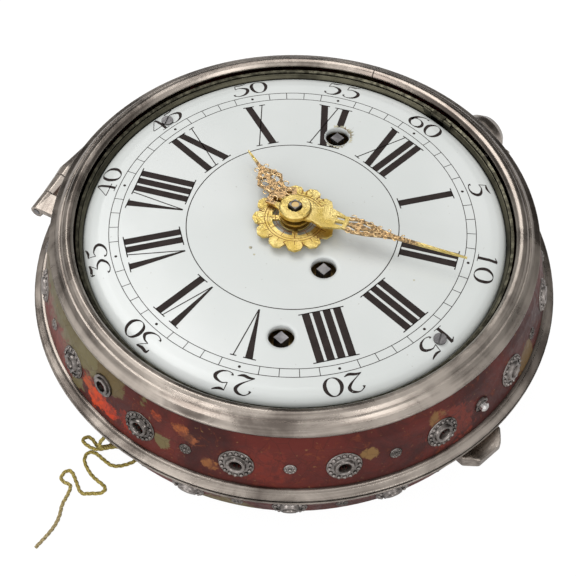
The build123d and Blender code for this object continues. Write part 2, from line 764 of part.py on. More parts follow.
# Bell: a shallow bowl standing on its stud in the bottom of the inner case, held by a nut
bell_floor = SHELL_WALL + BOWL_GAP + CASE_WALL
with BuildPart() as bell:
    knee = (BELL_R * 0.69, BELL_FOOT_Z + 3.2)
    shoulder = (BELL_R * 0.88, BELL_FOOT_Z + 6.0)
    revolved(
        [
            (0, BELL_FOOT_Z),
            (BELL_FLAT_R, BELL_FOOT_Z),
            knee,
            shoulder,
            (BELL_R, BELL_RIM_Z),
            (BELL_R - BELL_WALL - 0.1, BELL_RIM_Z),
            (shoulder[0] - 0.9, shoulder[1] + 1),
            (knee[0] - 0.3, knee[1] + BELL_WALL),
            (BELL_FLAT_R, BELL_FOOT_Z + BELL_WALL),
            (0, BELL_FOOT_Z + BELL_WALL),
        ]
    )
    with BuildSketch(Plane.XY):
        rod(BELL_STUD_R)
    extrude(amount=BELL_RIM_Z, mode=Mode.SUBTRACT)
save(bell, "bell")

with BuildPart() as bell_stud:
    with BuildSketch(Plane.XY.offset(bell_floor)):
        rod(BELL_NUT_R + 1)
    extrude(amount=BELL_FOOT_Z - bell_floor)
    with BuildSketch(Plane.XY.offset(bell_floor)):
        rod(BELL_STUD_R)
    extrude(amount=BELL_FOOT_Z + BELL_WALL + BELL_NUT_THICK + 0.6 - bell_floor)
save(bell_stud, "bell_stud")

with BuildPart() as bell_nut:
    with BuildSketch(Plane.XY.offset(BELL_FOOT_Z + BELL_WALL)):
        RegularPolygon(BELL_NUT_R, 6)
        rod(BELL_STUD_R, mode=Mode.SUBTRACT)
    extrude(amount=BELL_NUT_THICK)
save(bell_nut, "bell_nut")

with BuildPart() as movement_pin:
    with BuildSketch(Plane.YZ.offset(-JOINT_HALF)):
        with Locations((JOINT_Y, joint_z)):
            rod(JOINT_PIN_R)
    extrude(amount=2 * JOINT_HALF)
save(movement_pin, "movement_pin")

# Bronze ring that frames the dial, with the outer knuckles of the movement joint at XII
with BuildPart() as dial_ring:
    dial_back = face_height(-DIAL_RIM_DEPTH)
    spigot_foot = face_height(FRONT_PLATE_TOP)
    ring_foot = face_height(LEDGE_Z + 0.1)
    revolved(
        [
            (DIAL_R + DIAL_GAP, dial_back),
            (DIAL_R + DIAL_GAP, face_height(-DIAL_DROP + 0.3)),
            (DIAL_RING_R, face_height(DIAL_RING_TOP)),
            (DIAL_RING_R, ring_foot),
            (SPIGOT_R, ring_foot),
            (SPIGOT_R, spigot_foot),
            (SPIGOT_BORE_R, spigot_foot),
            (SPIGOT_BORE_R, dial_back),
        ]
    )
    with BuildSketch(Plane.YZ.offset(-JOINT_HALF)):
        with Locations((JOINT_Y, joint_z)):
            rod(JOINT_R)
        with Locations((DIAL_R + DIAL_GAP, joint_z)):
            lug = DIAL_RING_R - DIAL_R - DIAL_GAP - 0.2
            Rectangle(lug, joint_z - dial_back, align=(Align.MIN, Align.MAX))
    extrude(amount=2 * JOINT_HALF)
    with BuildSketch(Plane.XY.offset(ring_foot)):
        with Locations((0, JOINT_Y - JOINT_R - 0.15)):
            Rectangle(JOINT_KNUCKLE + 2 * KNUCKLE_GAP, 4, align=(Align.CENTER, Align.MIN))
    extrude(amount=5, mode=Mode.SUBTRACT)
    with BuildSketch(Plane.YZ.offset(-JOINT_HALF)):
        with Locations((JOINT_Y, joint_z)):
            bore(JOINT_PIN_R + RUN)
    extrude(amount=2 * JOINT_HALF, mode=Mode.SUBTRACT)
    with BuildSketch(Plane.XY.offset(dial_back - SCREW_DEPTH)):
        with Locations((DIAL_SCREW_AT, 0), (-DIAL_SCREW_AT, 0)):
            rod(SCREW_SHANK_R)
    extrude(amount=SCREW_DEPTH, mode=Mode.SUBTRACT)
save(dial_ring, "dial_ring")

# Enamel dial, flat with a rounded edge, and its three winding holes
with BuildPart() as dial:
    edge = DIAL_R - DIAL_FLAT_R
    revolved(
        [
            (0, face_height(-DIAL_THICK)),
            (SPIGOT_BORE_R - DIAL_GAP, face_height(-DIAL_THICK)),
            (SPIGOT_BORE_R - DIAL_GAP, dial_back),
            (DIAL_R, dial_back),
            (DIAL_R, face_height(-DIAL_DROP)),
            (DIAL_FLAT_R + edge * 0.81, face_height(-DIAL_DROP * 0.57)),
            (DIAL_FLAT_R + edge * 0.5, face_height(-DIAL_DROP * 0.23)),
            (DIAL_FLAT_R, DIAL_Z),
            (0, DIAL_Z),
        ]
    )
    with BuildSketch(Plane.XY.offset(dial_back)):
        with Locations(STRIKE_AT, GOING_AT, ALARM_AT):
            Circle(WINDING_HOLE_R)
        with Locations((DIAL_SCREW_AT, 0), (-DIAL_SCREW_AT, 0)):
            rod(SCREW_SHANK_R)
        bore(HOUR_PIPE_R + 0.3)
    extrude(amount=DIAL_RIM_DEPTH, mode=Mode.SUBTRACT)
save(dial, "dial")

with BuildPart() as dial_screws:
    with BuildSketch(Plane.XY.offset(DIAL_Z)):
        with Locations((DIAL_SCREW_AT, 0), (-DIAL_SCREW_AT, 0)):
            rod(DIAL_SCREW_R, 12)
    extrude(amount=SCREW_HEAD)
    with BuildSketch(Plane.XY.offset(DIAL_Z + SCREW_HEAD)):
        with Locations((DIAL_SCREW_AT, 0), (-DIAL_SCREW_AT, 0)):
            Rectangle(0.4, 2 * DIAL_SCREW_R, rotation=30)
    extrude(amount=-SCREW_HEAD / 2, mode=Mode.SUBTRACT)
    with BuildSketch(Plane.XY.offset(DIAL_Z)):
        with Locations((DIAL_SCREW_AT, 0), (-DIAL_SCREW_AT, 0)):
            rod(SCREW_SHANK_R)
    extrude(amount=-DIAL_RIM_DEPTH - SCREW_DEPTH + 0.2)
save(dial_screws, "dial_screws")

# Movement plates and where every arbor passes through them
plate_low = face_height(FRONT_PLATE_TOP) - PLATE_THICK
back_plate_top = plate_low - PLATE_SPACE
back_plate_low = back_plate_top - PLATE_THICK
balance_low = back_plate_low - 3.4
cock_low = back_plate_low - 6.6
staff_top = plate_low - 3
going_distance = sqrt(GOING_AT[0] ** 2 + GOING_AT[1] ** 2)
going_direction = degrees(atan2(GOING_AT[1], GOING_AT[0]))
THIRD_AT = (THIRD_DISTANCE * cos(radians(THIRD_DIRECTION)), THIRD_DISTANCE * sin(radians(THIRD_DIRECTION)))
CONTRATE_AT = (THIRD_AT[0], THIRD_AT[1] - CONTRATE_DISTANCE)
BALANCE_AT = (CONTRATE_AT[0] - BALANCE_AWAY, CONTRATE_AT[1])
MOTION_DISTANCE = (CANNON_TEETH + MINUTE_TEETH) * MODULE / 2
MOTION_AT = (
    MOTION_DISTANCE * cos(radians(MOTION_DIRECTION)),
    MOTION_DISTANCE * sin(radians(MOTION_DIRECTION)),
)
ARBOR_HOLES = (
    ((0, 0), CENTRE_R),
    (STRIKE_AT, WIND_ARBOR_R),
    (GOING_AT, WIND_ARBOR_R),
    (ALARM_AT, WIND_ARBOR_R),
    (THIRD_AT, TRAIN_ARBOR_R),
    (CONTRATE_AT, TRAIN_ARBOR_R),
    (HAMMER_AT, HAMMER_ARBOR_R),
    (REPEAT_AT, HAMMER_ARBOR_R),
)


def arbor_holes(height):
    with BuildSketch(Plane.XY.offset(height)) as holes:
        for place, radius in ARBOR_HOLES:
            with Locations(place):
                bore(radius + RUN)
    return holes.sketch


with BuildPart() as front_plate:
    with BuildSketch(Plane.XY.offset(plate_low)):
        Circle(FRONT_PLATE_R)
    extrude(amount=PLATE_THICK)
    extrude(arbor_holes(plate_low), amount=PLATE_THICK, mode=Mode.SUBTRACT)
    with BuildSketch(Plane.XY.offset(plate_low + PLATE_THICK)):
        with Locations(MOTION_AT):
            rod(STUD_PIN_R)
    extrude(amount=MINUTE_STUD)
save(front_plate, "front_plate")

with BuildPart() as back_plate:
    with BuildSketch(Plane.XY.offset(back_plate_low)):
        Circle(BACK_PLATE_R)
    extrude(amount=PLATE_THICK)
    extrude(arbor_holes(back_plate_low), amount=PLATE_THICK, mode=Mode.SUBTRACT)
    with BuildSketch(Plane.XY.offset(back_plate_low)):
        with Locations(BALANCE_AT):
            rod(STAFF_R + 0.9)
    extrude(amount=PLATE_THICK, mode=Mode.SUBTRACT)
save(back_plate, "back_plate")

# Five pillars, waisted in the middle
with BuildPart() as pillars:
    for low, high, radius in (
        (back_plate_top, back_plate_top + 3, PILLAR_R),
        (back_plate_top + 3, plate_low - 3, PILLAR_R - 0.6),
        (plate_low - 3, plate_low, PILLAR_R),
    ):
        with BuildSketch(Plane.XY.offset(low)):
            for angle in PILLAR_ANGLES:
                with Locations((PILLAR_AT * cos(radians(angle)), PILLAR_AT * sin(radians(angle)))):
                    rod(radius, TUBE_SIDES)
        extrude(amount=high - low)
save(pillars, "pillars")


# A wheel outline: each tooth tapers from its root to a flat tip and is narrow enough to run free
def gear_face(centre, height, teeth, module, turn):
    points = []
    for k in range(teeth):
        for share, reach in TOOTH_SHAPE:
            a = radians(turn + (k + share) * 360 / teeth)
            r = (teeth / 2 + reach) * module
            points.append((r * cos(a), r * sin(a)))
    with BuildSketch(Plane((centre[0], centre[1], height))) as face:
        with BuildLine():
            Polyline(*points, close=True)
        make_face()
    return face.sketch


def disc_face(centre, height, radius, hole=0, sides=SIDES):
    with BuildSketch(Plane((centre[0], centre[1], height))) as face:
        rod(radius, sides)
        if hole > 0:
            rod(hole, mode=Mode.SUBTRACT)
    return face.sketch


def bore_face(centre, height, radius):
    with BuildSketch(Plane((centre[0], centre[1], height))) as face:
        bore(radius)
    return face.sketch


# The openings between the arms of a wheel
def crossing_face(centre, height, hub, rim, arms, arm_width):
    with BuildSketch(Plane((centre[0], centre[1], height))) as face:
        rod(rim, RIM_SIDES)
        rod(hub, mode=Mode.SUBTRACT)
        with PolarLocations(rim / 2, arms):
            Rectangle(rim, arm_width, mode=Mode.SUBTRACT)
    return face.sketch


def gap_turn(direction, teeth):
    return direction + 180 + 180 / teeth


arbor_low = back_plate_low + 0.3
arbor_high = face_height(FRONT_PLATE_TOP) - 0.3
drum_low = back_plate_top + DRUM_LOW
drum_high = back_plate_top + DRUM_HIGH
great_low = back_plate_top + GREAT_LIFT
great_module = 2 * going_distance / (GREAT_TEETH + CENTRE_PINION)
centre_module = 2 * THIRD_DISTANCE / (CENTRE_TEETH + THIRD_PINION)
third_module = 2 * CONTRATE_DISTANCE / (THIRD_TEETH + CONTRATE_PINION)
contrate_module = 2 * CONTRATE_PITCH_R / CONTRATE_TEETH
centre_low = drum_high + 2.1
third_low = drum_high - 1.3

# Three squared winding arbors, each with its ratchet above the drum
for name, place in (("strike", STRIKE_AT), ("going", GOING_AT), ("alarm", ALARM_AT)):
    with BuildPart() as winder:
        extrude(disc_face(place, arbor_low, WIND_ARBOR_R), amount=face_height(FRONT_PLATE_TOP) + 1 - arbor_low)
        with BuildSketch(Plane((place[0], place[1], face_height(FRONT_PLATE_TOP) + 1))) as square:
            Rectangle(SQUARE, SQUARE)
        extrude(square.sketch, amount=SQUARE_TOP - FRONT_PLATE_TOP - 1)
        if name != "alarm":
            with BuildSketch(Plane((place[0], place[1], drum_high + 0.5))) as ratchet:
                rod(RATCHET_R, RATCHET_TEETH)
                rod(WIND_ARBOR_R, mode=Mode.SUBTRACT)
            extrude(ratchet.sketch, amount=WHEEL_THICK)
    save(winder, f"{name}_arbor")

with BuildPart() as going_barrel:
    extrude(gear_face(GOING_AT, great_low, GREAT_TEETH, great_module, going_direction + 180), amount=1.2)
    extrude(disc_face(GOING_AT, great_low, GOING_DRUM_R, 0, RIM_SIDES), amount=drum_high - great_low)
    extrude(bore_face(GOING_AT, great_low - 1, WIND_ARBOR_R + RUN), amount=PLATE_SPACE, mode=Mode.SUBTRACT)
save(going_barrel, "going_barrel")

with BuildPart() as strike_barrel:
    extrude(gear_face(STRIKE_AT, great_low, STRIKE_TEETH, STRIKE_MODULE, 0), amount=1.2)
    extrude(disc_face(STRIKE_AT, great_low, STRIKE_DRUM_R, 0, RIM_SIDES), amount=drum_high - great_low)
    extrude(bore_face(STRIKE_AT, great_low - 1, WIND_ARBOR_R + RUN), amount=PLATE_SPACE, mode=Mode.SUBTRACT)
save(strike_barrel, "strike_barrel")

with BuildPart() as alarm_barrel:
    extrude(disc_face(ALARM_AT, drum_low, ALARM_DRUM_R, 0, RIM_SIDES), amount=drum_high + 1 - drum_low)
    extrude(gear_face(ALARM_AT, drum_high + 1, ALARM_TEETH, ALARM_MODULE, 0), amount=WHEEL_THICK)
    extrude(bore_face(ALARM_AT, great_low, WIND_ARBOR_R + RUN), amount=PLATE_SPACE, mode=Mode.SUBTRACT)
save(alarm_barrel, "alarm_barrel")

# Centre wheel on its long arbor, with the pinion that the great wheel drives
with BuildPart() as centre_wheel:
    extrude(gear_face((0, 0), centre_low, CENTRE_TEETH, centre_module, THIRD_DIRECTION), amount=WHEEL_THICK)
    rim = (CENTRE_TEETH / 2 - 2) * centre_module
    extrude(crossing_face((0, 0), centre_low, 2.4, rim, 4, 1.2), amount=WHEEL_THICK, mode=Mode.SUBTRACT)
    pinion_turn = gap_turn(going_direction + 180, CENTRE_PINION)
    extrude(gear_face((0, 0), great_low - 0.4, CENTRE_PINION, great_module, pinion_turn), amount=2)
    extrude(disc_face((0, 0), arbor_low, CENTRE_R), amount=face_height(SETTING_TOP - 0.2) - arbor_low)
save(centre_wheel, "centre_wheel")

with BuildPart() as third_wheel:
    third_turn = gap_turn(THIRD_DIRECTION, THIRD_PINION)
    extrude(gear_face(THIRD_AT, centre_low - 0.4, THIRD_PINION, centre_module, third_turn), amount=1.8)
    extrude(gear_face(THIRD_AT, third_low, THIRD_TEETH, third_module, CONTRATE_DIRECTION), amount=WHEEL_THICK)
    rim = (THIRD_TEETH / 2 - 2) * third_module
    extrude(crossing_face(THIRD_AT, third_low, 2.2, rim, 4, 1.1), amount=WHEEL_THICK, mode=Mode.SUBTRACT)
    extrude(disc_face(THIRD_AT, arbor_low, TRAIN_ARBOR_R), amount=arbor_high - arbor_low)
save(third_wheel, "third_wheel")

# Contrate wheel: its teeth stand up from the rim and turn the crown wheel's level arbor
contrate_low = back_plate_top + 3.5
contrate_rim = contrate_low + 0.8
contrate_top = contrate_rim + CONTRATE_TOOTH
rim_in = CONTRATE_PITCH_R - 0.6
rim_out = CONTRATE_PITCH_R + 0.7
with BuildPart() as contrate_wheel:
    extrude(disc_face(CONTRATE_AT, contrate_low, rim_out, 0, 30), amount=0.8)
    extrude(crossing_face(CONTRATE_AT, contrate_low, 2, rim_in - 0.8, 3, 1.2), amount=0.8, mode=Mode.SUBTRACT)
    step = 360 / CONTRATE_TEETH
    tooth_width = 2 * pi * CONTRATE_PITCH_R / CONTRATE_TEETH - CONTRATE_SLOT
    with BuildSketch(Plane((CONTRATE_AT[0], CONTRATE_AT[1], contrate_rim))) as crown:
        with PolarLocations((rim_in + rim_out) / 2, CONTRATE_TEETH, start_angle=180 + step / 2):
            Rectangle(rim_out - rim_in - 0.15, tooth_width)
    extrude(crown.sketch, amount=CONTRATE_TOOTH)
    contrate_turn = gap_turn(CONTRATE_DIRECTION, CONTRATE_PINION)
    extrude(gear_face(CONTRATE_AT, third_low - 0.4, CONTRATE_PINION, third_module, contrate_turn), amount=1.8)
    extrude(disc_face(CONTRATE_AT, arbor_low, TRAIN_ARBOR_R), amount=arbor_high - arbor_low)
save(contrate_wheel, "contrate_wheel")

# Crown wheel on a level arbor that points at the verge staff
escape_r = ESCAPE_PINION * contrate_module / 2
escape_z = contrate_top - TOOTH_SHAPE[1][1] * contrate_module + escape_r
escape_x = CONTRATE_AT[0] - CONTRATE_PITCH_R
crown_x = BALANCE_AT[0] + CROWN_AWAY
ESCAPE_PLANE = Plane(origin=(0, CONTRATE_AT[1], escape_z), x_dir=(0, 0, -1), z_dir=(-1, 0, 0))
with BuildPart() as crown_wheel:
    pinion_points = []
    for k in range(ESCAPE_PINION):
        for share, reach in TOOTH_SHAPE:
            a = radians((k + share) * 360 / ESCAPE_PINION)
            r = (ESCAPE_PINION / 2 + reach) * contrate_module
            pinion_points.append((r * cos(a), r * sin(a)))
    with BuildSketch(ESCAPE_PLANE.offset(-escape_x - 1)):
        with BuildLine():
            Polyline(*pinion_points, close=True)
        make_face()
    extrude(amount=2.1)
    with BuildSketch(ESCAPE_PLANE.offset(-POTENCE_X - 0.5)):
        rod(STAFF_R)
    extrude(amount=POTENCE_X - crown_x + 1.6)
    with BuildSketch(ESCAPE_PLANE.offset(-crown_x)):
        rod(CROWN_R_OUT, RIM_SIDES)
    extrude(amount=0.6)
    with BuildSketch(ESCAPE_PLANE.offset(-crown_x + 0.6)):
        with PolarLocations(CROWN_R_OUT - 0.4, ESCAPE_TEETH):
            Rectangle(0.8, 0.75)
    extrude(amount=CROWN_TOOTH, taper=8)
    with BuildSketch(ESCAPE_PLANE.offset(-crown_x)):
        rod(CROWN_R_OUT - 1, RIM_SIDES)
        with PolarLocations(CROWN_R_OUT / 2, 3):
            Rectangle(CROWN_R_OUT, 0.8, mode=Mode.SUBTRACT)
        rod(1.3, mode=Mode.SUBTRACT)
    extrude(amount=0.6, mode=Mode.SUBTRACT)
save(crown_wheel, "crown_wheel")

# Potence: two legs that carry the level arbor and a cock over the upper end of the verge
with BuildPart() as potence:
    with BuildSketch(Plane.XY.offset(plate_low - 1.5)):
        with Locations((BALANCE_AT[0] - 1.5, CONTRATE_AT[1])):
            Rectangle(POTENCE_X - BALANCE_AT[0] + 2, POTENCE_WIDTH, align=(Align.MIN, Align.CENTER))
    extrude(amount=1.5)
    for x in (POTENCE_X, crown_x + 1.8):
        with BuildSketch(Plane.XY.offset(escape_z - 1.25)):
            with Locations((x, CONTRATE_AT[1])):
                Rectangle(1, POTENCE_WIDTH, align=(Align.MAX, Align.CENTER))
        extrude(amount=plate_low - escape_z + 1.25)
    with BuildSketch(Plane.XY.offset(staff_top - 1.6)):
        with Locations(BALANCE_AT):
            Rectangle(3, POTENCE_WIDTH)
    extrude(amount=plate_low - staff_top + 1.6)
    with BuildSketch(ESCAPE_PLANE.offset(-POTENCE_X - 1)):
        bore(STAFF_R + RUN)
    extrude(amount=POTENCE_X - crown_x + 1, mode=Mode.SUBTRACT)
    with BuildSketch(Plane.XY.offset(staff_top - 1.6)):
        with Locations(BALANCE_AT):
            bore(STAFF_R + RUN)
    extrude(amount=1.8, mode=Mode.SUBTRACT)
save(potence, "potence")

# Verge staff with its two flags, one for each side of the crown wheel
with BuildPart() as verge:
    extrude(disc_face(BALANCE_AT, cock_low + 0.6, STAFF_R), amount=staff_top - cock_low - 0.6)
    for side, turn in ((1, 50), (-1, -50)):
        flag_z = escape_z + side * (CROWN_R_OUT - 0.4)
        with BuildSketch(Plane((BALANCE_AT[0], BALANCE_AT[1], flag_z - FLAG_HEIGHT / 2))) as flag:
            with PolarLocations(FLAG_REACH / 2, 1, start_angle=turn):
                Rectangle(FLAG_REACH, 0.5)
        extrude(flag.sketch, amount=FLAG_HEIGHT)
save(verge, "verge")

with BuildPart() as balance_wheel:
    extrude(disc_face(BALANCE_AT, balance_low, BALANCE_R, STAFF_R, RIM_SIDES), amount=WHEEL_THICK)
    gaps = crossing_face(BALANCE_AT, balance_low, 1.8, BALANCE_R - BALANCE_RIM, 3, 1)
    extrude(gaps, amount=WHEEL_THICK, mode=Mode.SUBTRACT)
save(balance_wheel, "balance_wheel")

# Balance spring: a flat spiral of three turns between the balance and the plate, with its collet
with BuildPart() as balance_spring:
    spiral_low = balance_low + WHEEL_THICK + 0.6
    steps = SPRING_TURNS * 12
    inner_side = []
    outer_side = []
    for k in range(steps + 1):
        a = 2 * pi * k / 12
        r = SPRING_START_R + (SPRING_END_R - SPRING_START_R) * k / steps
        inner_side.append((r * cos(a), r * sin(a)))
        outer_side.append(((r + SPRING_WIRE) * cos(a), (r + SPRING_WIRE) * sin(a)))
    with BuildSketch(Plane((BALANCE_AT[0], BALANCE_AT[1], spiral_low))):
        with BuildLine():
            Polyline(*inner_side)
            Polyline(*outer_side)
            Line(inner_side[0], outer_side[0])
            Line(inner_side[-1], outer_side[-1])
        make_face()
        rod(SPRING_START_R + SPRING_WIRE / 2)
        rod(STAFF_R, mode=Mode.SUBTRACT)
    extrude(amount=SPRING_HEIGHT)
save(balance_spring, "balance_spring")

# Balance cock: a pierced round table on one foot
with BuildPart() as balance_cock:
    foot_at = (BALANCE_AT[0] + COCK_FOOT * cos(radians(29)), BALANCE_AT[1] + COCK_FOOT * sin(radians(29)))
    extrude(disc_face(foot_at, cock_low, 2.2), amount=back_plate_low - cock_low)
    extrude(disc_face(BALANCE_AT, cock_low, COCK_TABLE_R, 0, RIM_SIDES), amount=COCK_THICK)
    extrude(bore_face(BALANCE_AT, cock_low, STAFF_R + RUN), amount=COCK_THICK, mode=Mode.SUBTRACT)
    with BuildSketch(Plane((BALANCE_AT[0], BALANCE_AT[1], cock_low), x_dir=(cos(radians(29)), sin(radians(29)), 0))):
        with Locations((COCK_TABLE_R - 1, 0)):
            Rectangle(COCK_FOOT - COCK_TABLE_R + 1, 4, align=(Align.MIN, Align.CENTER))
    extrude(amount=COCK_THICK)
    with BuildSketch(Plane((BALANCE_AT[0], BALANCE_AT[1], cock_low))):
        with PolarLocations(COCK_TABLE_R * 0.62, 6, start_angle=59):
            rod(1.15, 6)
    extrude(amount=COCK_THICK, mode=Mode.SUBTRACT)
save(balance_cock, "balance_cock")

# Motion work under the dial
cannon_low = face_height(FRONT_PLATE_TOP + 0.3)
hour_low = face_height(FRONT_PLATE_TOP + 1.7)
with BuildPart() as cannon_pinion:
    extrude(gear_face((0, 0), cannon_low, CANNON_TEETH, MODULE, MOTION_DIRECTION), amount=1.3)
    extrude(disc_face((0, 0), cannon_low, CANNON_R), amount=face_height(MINUTE_HAND_Z + HAND_THICK) - cannon_low)
    with BuildSketch(Plane.XY.offset(face_height(MINUTE_HAND_Z + HAND_THICK))):
        Rectangle(SETTING_SQUARE, SETTING_SQUARE)
    extrude(amount=SETTING_TOP - MINUTE_HAND_Z - HAND_THICK, taper=6)
    extrude(disc_face((0, 0), cannon_low, CENTRE_R), amount=SETTING_TOP + 5, mode=Mode.SUBTRACT)
save(cannon_pinion, "cannon_pinion")

with BuildPart() as minute_wheel:
    motion_turn = gap_turn(MOTION_DIRECTION, MINUTE_TEETH)
    extrude(gear_face(MOTION_AT, cannon_low, MINUTE_TEETH, MODULE, motion_turn), amount=1.1)
    hour_side = MOTION_DIRECTION + 180
    extrude(gear_face(MOTION_AT, cannon_low + 1.1, MINUTE_PINION, MODULE, hour_side), amount=1.2)
    extrude(bore_face(MOTION_AT, cannon_low, STUD_PIN_R + RUN), amount=3, mode=Mode.SUBTRACT)
save(minute_wheel, "minute_wheel")

with BuildPart() as hour_wheel:
    hour_turn = gap_turn(MOTION_DIRECTION + 180, HOUR_TEETH)
    extrude(gear_face((0, 0), hour_low, HOUR_TEETH, MODULE, hour_turn), amount=0.8)
    extrude(disc_face((0, 0), hour_low, HOUR_PIPE_R), amount=face_height(HOUR_HAND_Z + HAND_THICK) + 0.1 - hour_low)
    extrude(bore_face((0, 0), hour_low, CANNON_R + RUN), amount=SETTING_TOP + 3, mode=Mode.SUBTRACT)
save(hour_wheel, "hour_wheel")

# Alarm disc: a pierced plate with twelve lobes, turned by hand on the hour pipe
with BuildPart() as alarm_disc:
    with BuildSketch(Plane.XY.offset(face_height(ALARM_DISC_Z))):
        rod(ALARM_DISC_R, RIM_SIDES)
        with PolarLocations(ALARM_DISC_R - 0.3, ALARM_LOBES, start_angle=15):
            rod(ALARM_LOBE_R, TUBE_SIDES)
        rod(ALARM_DISC_R * 0.66, RIM_SIDES, mode=Mode.SUBTRACT)
        rod(COLLAR_R, RIM_SIDES)
        with PolarLocations(ALARM_DISC_R * 0.45, 4, start_angle=45):
            Rectangle(ALARM_DISC_R * 0.6, 1.3)
        bore(HOUR_PIPE_R + RUN, mode=Mode.SUBTRACT)
    extrude(amount=HAND_THICK)
save(alarm_disc, "alarm_disc")


# One side of a hand's outline is a list of distances along it and half widths; the other side mirrors it
def hand_face(height, minute, spine, tip):
    turn = radians(clock_angle(minute))
    with BuildSketch(Plane((0, 0, face_height(height)), x_dir=(cos(turn), sin(turn), 0))) as face:
        with BuildLine() as side:
            Polyline(*spine)
            Line(spine[-1], (tip, 0.12))
            Line((tip, 0.12), (tip, 0))
            Line((tip, 0), (spine[0][0], 0))
            Line((spine[0][0], 0), spine[0])
        make_face()
        mirror(about=Plane.XZ)
    return face.sketch


def hand_windows(height, minute, windows):
    turn = radians(clock_angle(minute))
    with BuildSketch(Plane((0, 0, face_height(height)), x_dir=(cos(turn), sin(turn), 0))) as face:
        for along, across, length, width, tilt in windows:
            for side in (1, -1):
                with Locations((along, side * across)):
                    Rectangle(length, width, rotation=side * tilt)
    return face.sketch


HOUR_SPINE = [(2.0, 2.4), (4.6, 3.0), (6.6, 4.3), (8.4, 2.1), (10.2, 2.5), (12.2, 3.4), (14.6, 2.0), (16.2, 0.8), (17.4, 0.4)]
HOUR_WINDOWS = [(5.6, 1.5, 2.2, 1.3, 35), (12.0, 1.5, 2.6, 1.5, -10), (14.2, 0.75, 1.3, 0.6, -25), (9.4, 0.9, 1.2, 0.7, 0)]
with BuildPart() as hour_hand:
    extrude(hand_face(HOUR_HAND_Z, HOUR_MINUTE, HOUR_SPINE, HOUR_LENGTH), amount=HAND_THICK)
    extrude(hand_windows(HOUR_HAND_Z, HOUR_MINUTE, HOUR_WINDOWS), amount=HAND_THICK, mode=Mode.SUBTRACT)
    extrude(disc_face((0, 0), face_height(HOUR_HAND_Z), COLLAR_R, 0, RIM_SIDES), amount=HAND_THICK)
    extrude(disc_face((0, 0), face_height(HOUR_HAND_Z), HOUR_PIPE_R), amount=HAND_THICK, mode=Mode.SUBTRACT)
save(hour_hand, "hour_hand")

MINUTE_SPINE = [(2.0, 2.6), (5.0, 2.3), (7.6, 3.2), (10.2, 2.5), (12.0, 1.8), (14.6, 2.3), (18.0, 1.9), (21.6, 1.0), (24.6, 0.5)]
MINUTE_WINDOWS = [(11.0, 0.85, 1.9, 0.9, 0), (14.2, 1.05, 2.4, 0.8, 15), (17.4, 0.85, 2.2, 0.7, -12), (20.2, 0.5, 1.4, 0.4, -10)]
with BuildPart() as minute_hand:
    extrude(hand_face(MINUTE_HAND_Z, MINUTE_MINUTE, MINUTE_SPINE, MINUTE_LENGTH), amount=HAND_THICK)
    extrude(hand_windows(MINUTE_HAND_Z, MINUTE_MINUTE, MINUTE_WINDOWS), amount=HAND_THICK, mode=Mode.SUBTRACT)
    extrude(disc_face((0, 0), face_height(MINUTE_HAND_Z), COLLAR_R, 0, RIM_SIDES), amount=HAND_THICK)
    extrude(disc_face((0, 0), face_height(MINUTE_HAND_Z), CANNON_R), amount=HAND_THICK, mode=Mode.SUBTRACT)
save(minute_hand, "minute_hand")

# Round collar over the minute hand, with a square hole for the setting square
collar_low = face_height(MINUTE_HAND_Z + HAND_THICK)
with BuildPart() as hand_collar:
    extrude(disc_face((0, 0), collar_low, COLLAR_R, 0, RIM_SIDES), amount=COLLAR_THICK)
    chamfer(hand_collar.edges().group_by(Axis.Z)[-1], 0.3)
    extrude(disc_face((0, 0), collar_low, SETTING_SQUARE * 0.72), amount=1, mode=Mode.SUBTRACT)
save(hand_collar, "hand_collar")

# Strike hammer: an arm under the back plate and a head that hangs inside the bell
hammer_low = back_plate_low - HAMMER_DROP
with BuildPart() as hammer:
    extrude(disc_face(HAMMER_AT, hammer_low, HAMMER_ARBOR_R), amount=arbor_high - hammer_low)
    extrude(disc_face(HAMMER_AT, hammer_low, 2), amount=HAMMER_ARM)
    extrude(disc_face(HAMMER_HEAD_AT, hammer_low + HAMMER_ARM - HAMMER_HEAD, HAMMER_R), amount=HAMMER_HEAD)
    arm = (HAMMER_HEAD_AT[0] - HAMMER_AT[0], HAMMER_HEAD_AT[1] - HAMMER_AT[1])
    with BuildSketch(Plane((HAMMER_AT[0], HAMMER_AT[1], hammer_low), x_dir=(arm[0], arm[1], 0))) as bar:
        Rectangle(sqrt(arm[0] ** 2 + arm[1] ** 2), 1.6, align=(Align.MIN, Align.CENTER))
    extrude(bar.sketch, amount=HAMMER_ARM)
save(hammer, "hammer")

# Grooved pulley that the pull cord turns
pulley_low = back_plate_low - 4
with BuildPart() as repeat_pulley:
    for low, radius, thick in ((0, PULLEY_R, 0.8), (0.8, PULLEY_R - 1, 0.9), (1.7, PULLEY_R, 0.8)):
        extrude(disc_face(REPEAT_AT, pulley_low + low, radius, 0, RIM_SIDES), amount=thick)
    extrude(disc_face(REPEAT_AT, pulley_low - 0.6, HAMMER_ARBOR_R), amount=arbor_high - pulley_low + 0.6)
save(repeat_pulley, "repeat_pulley")

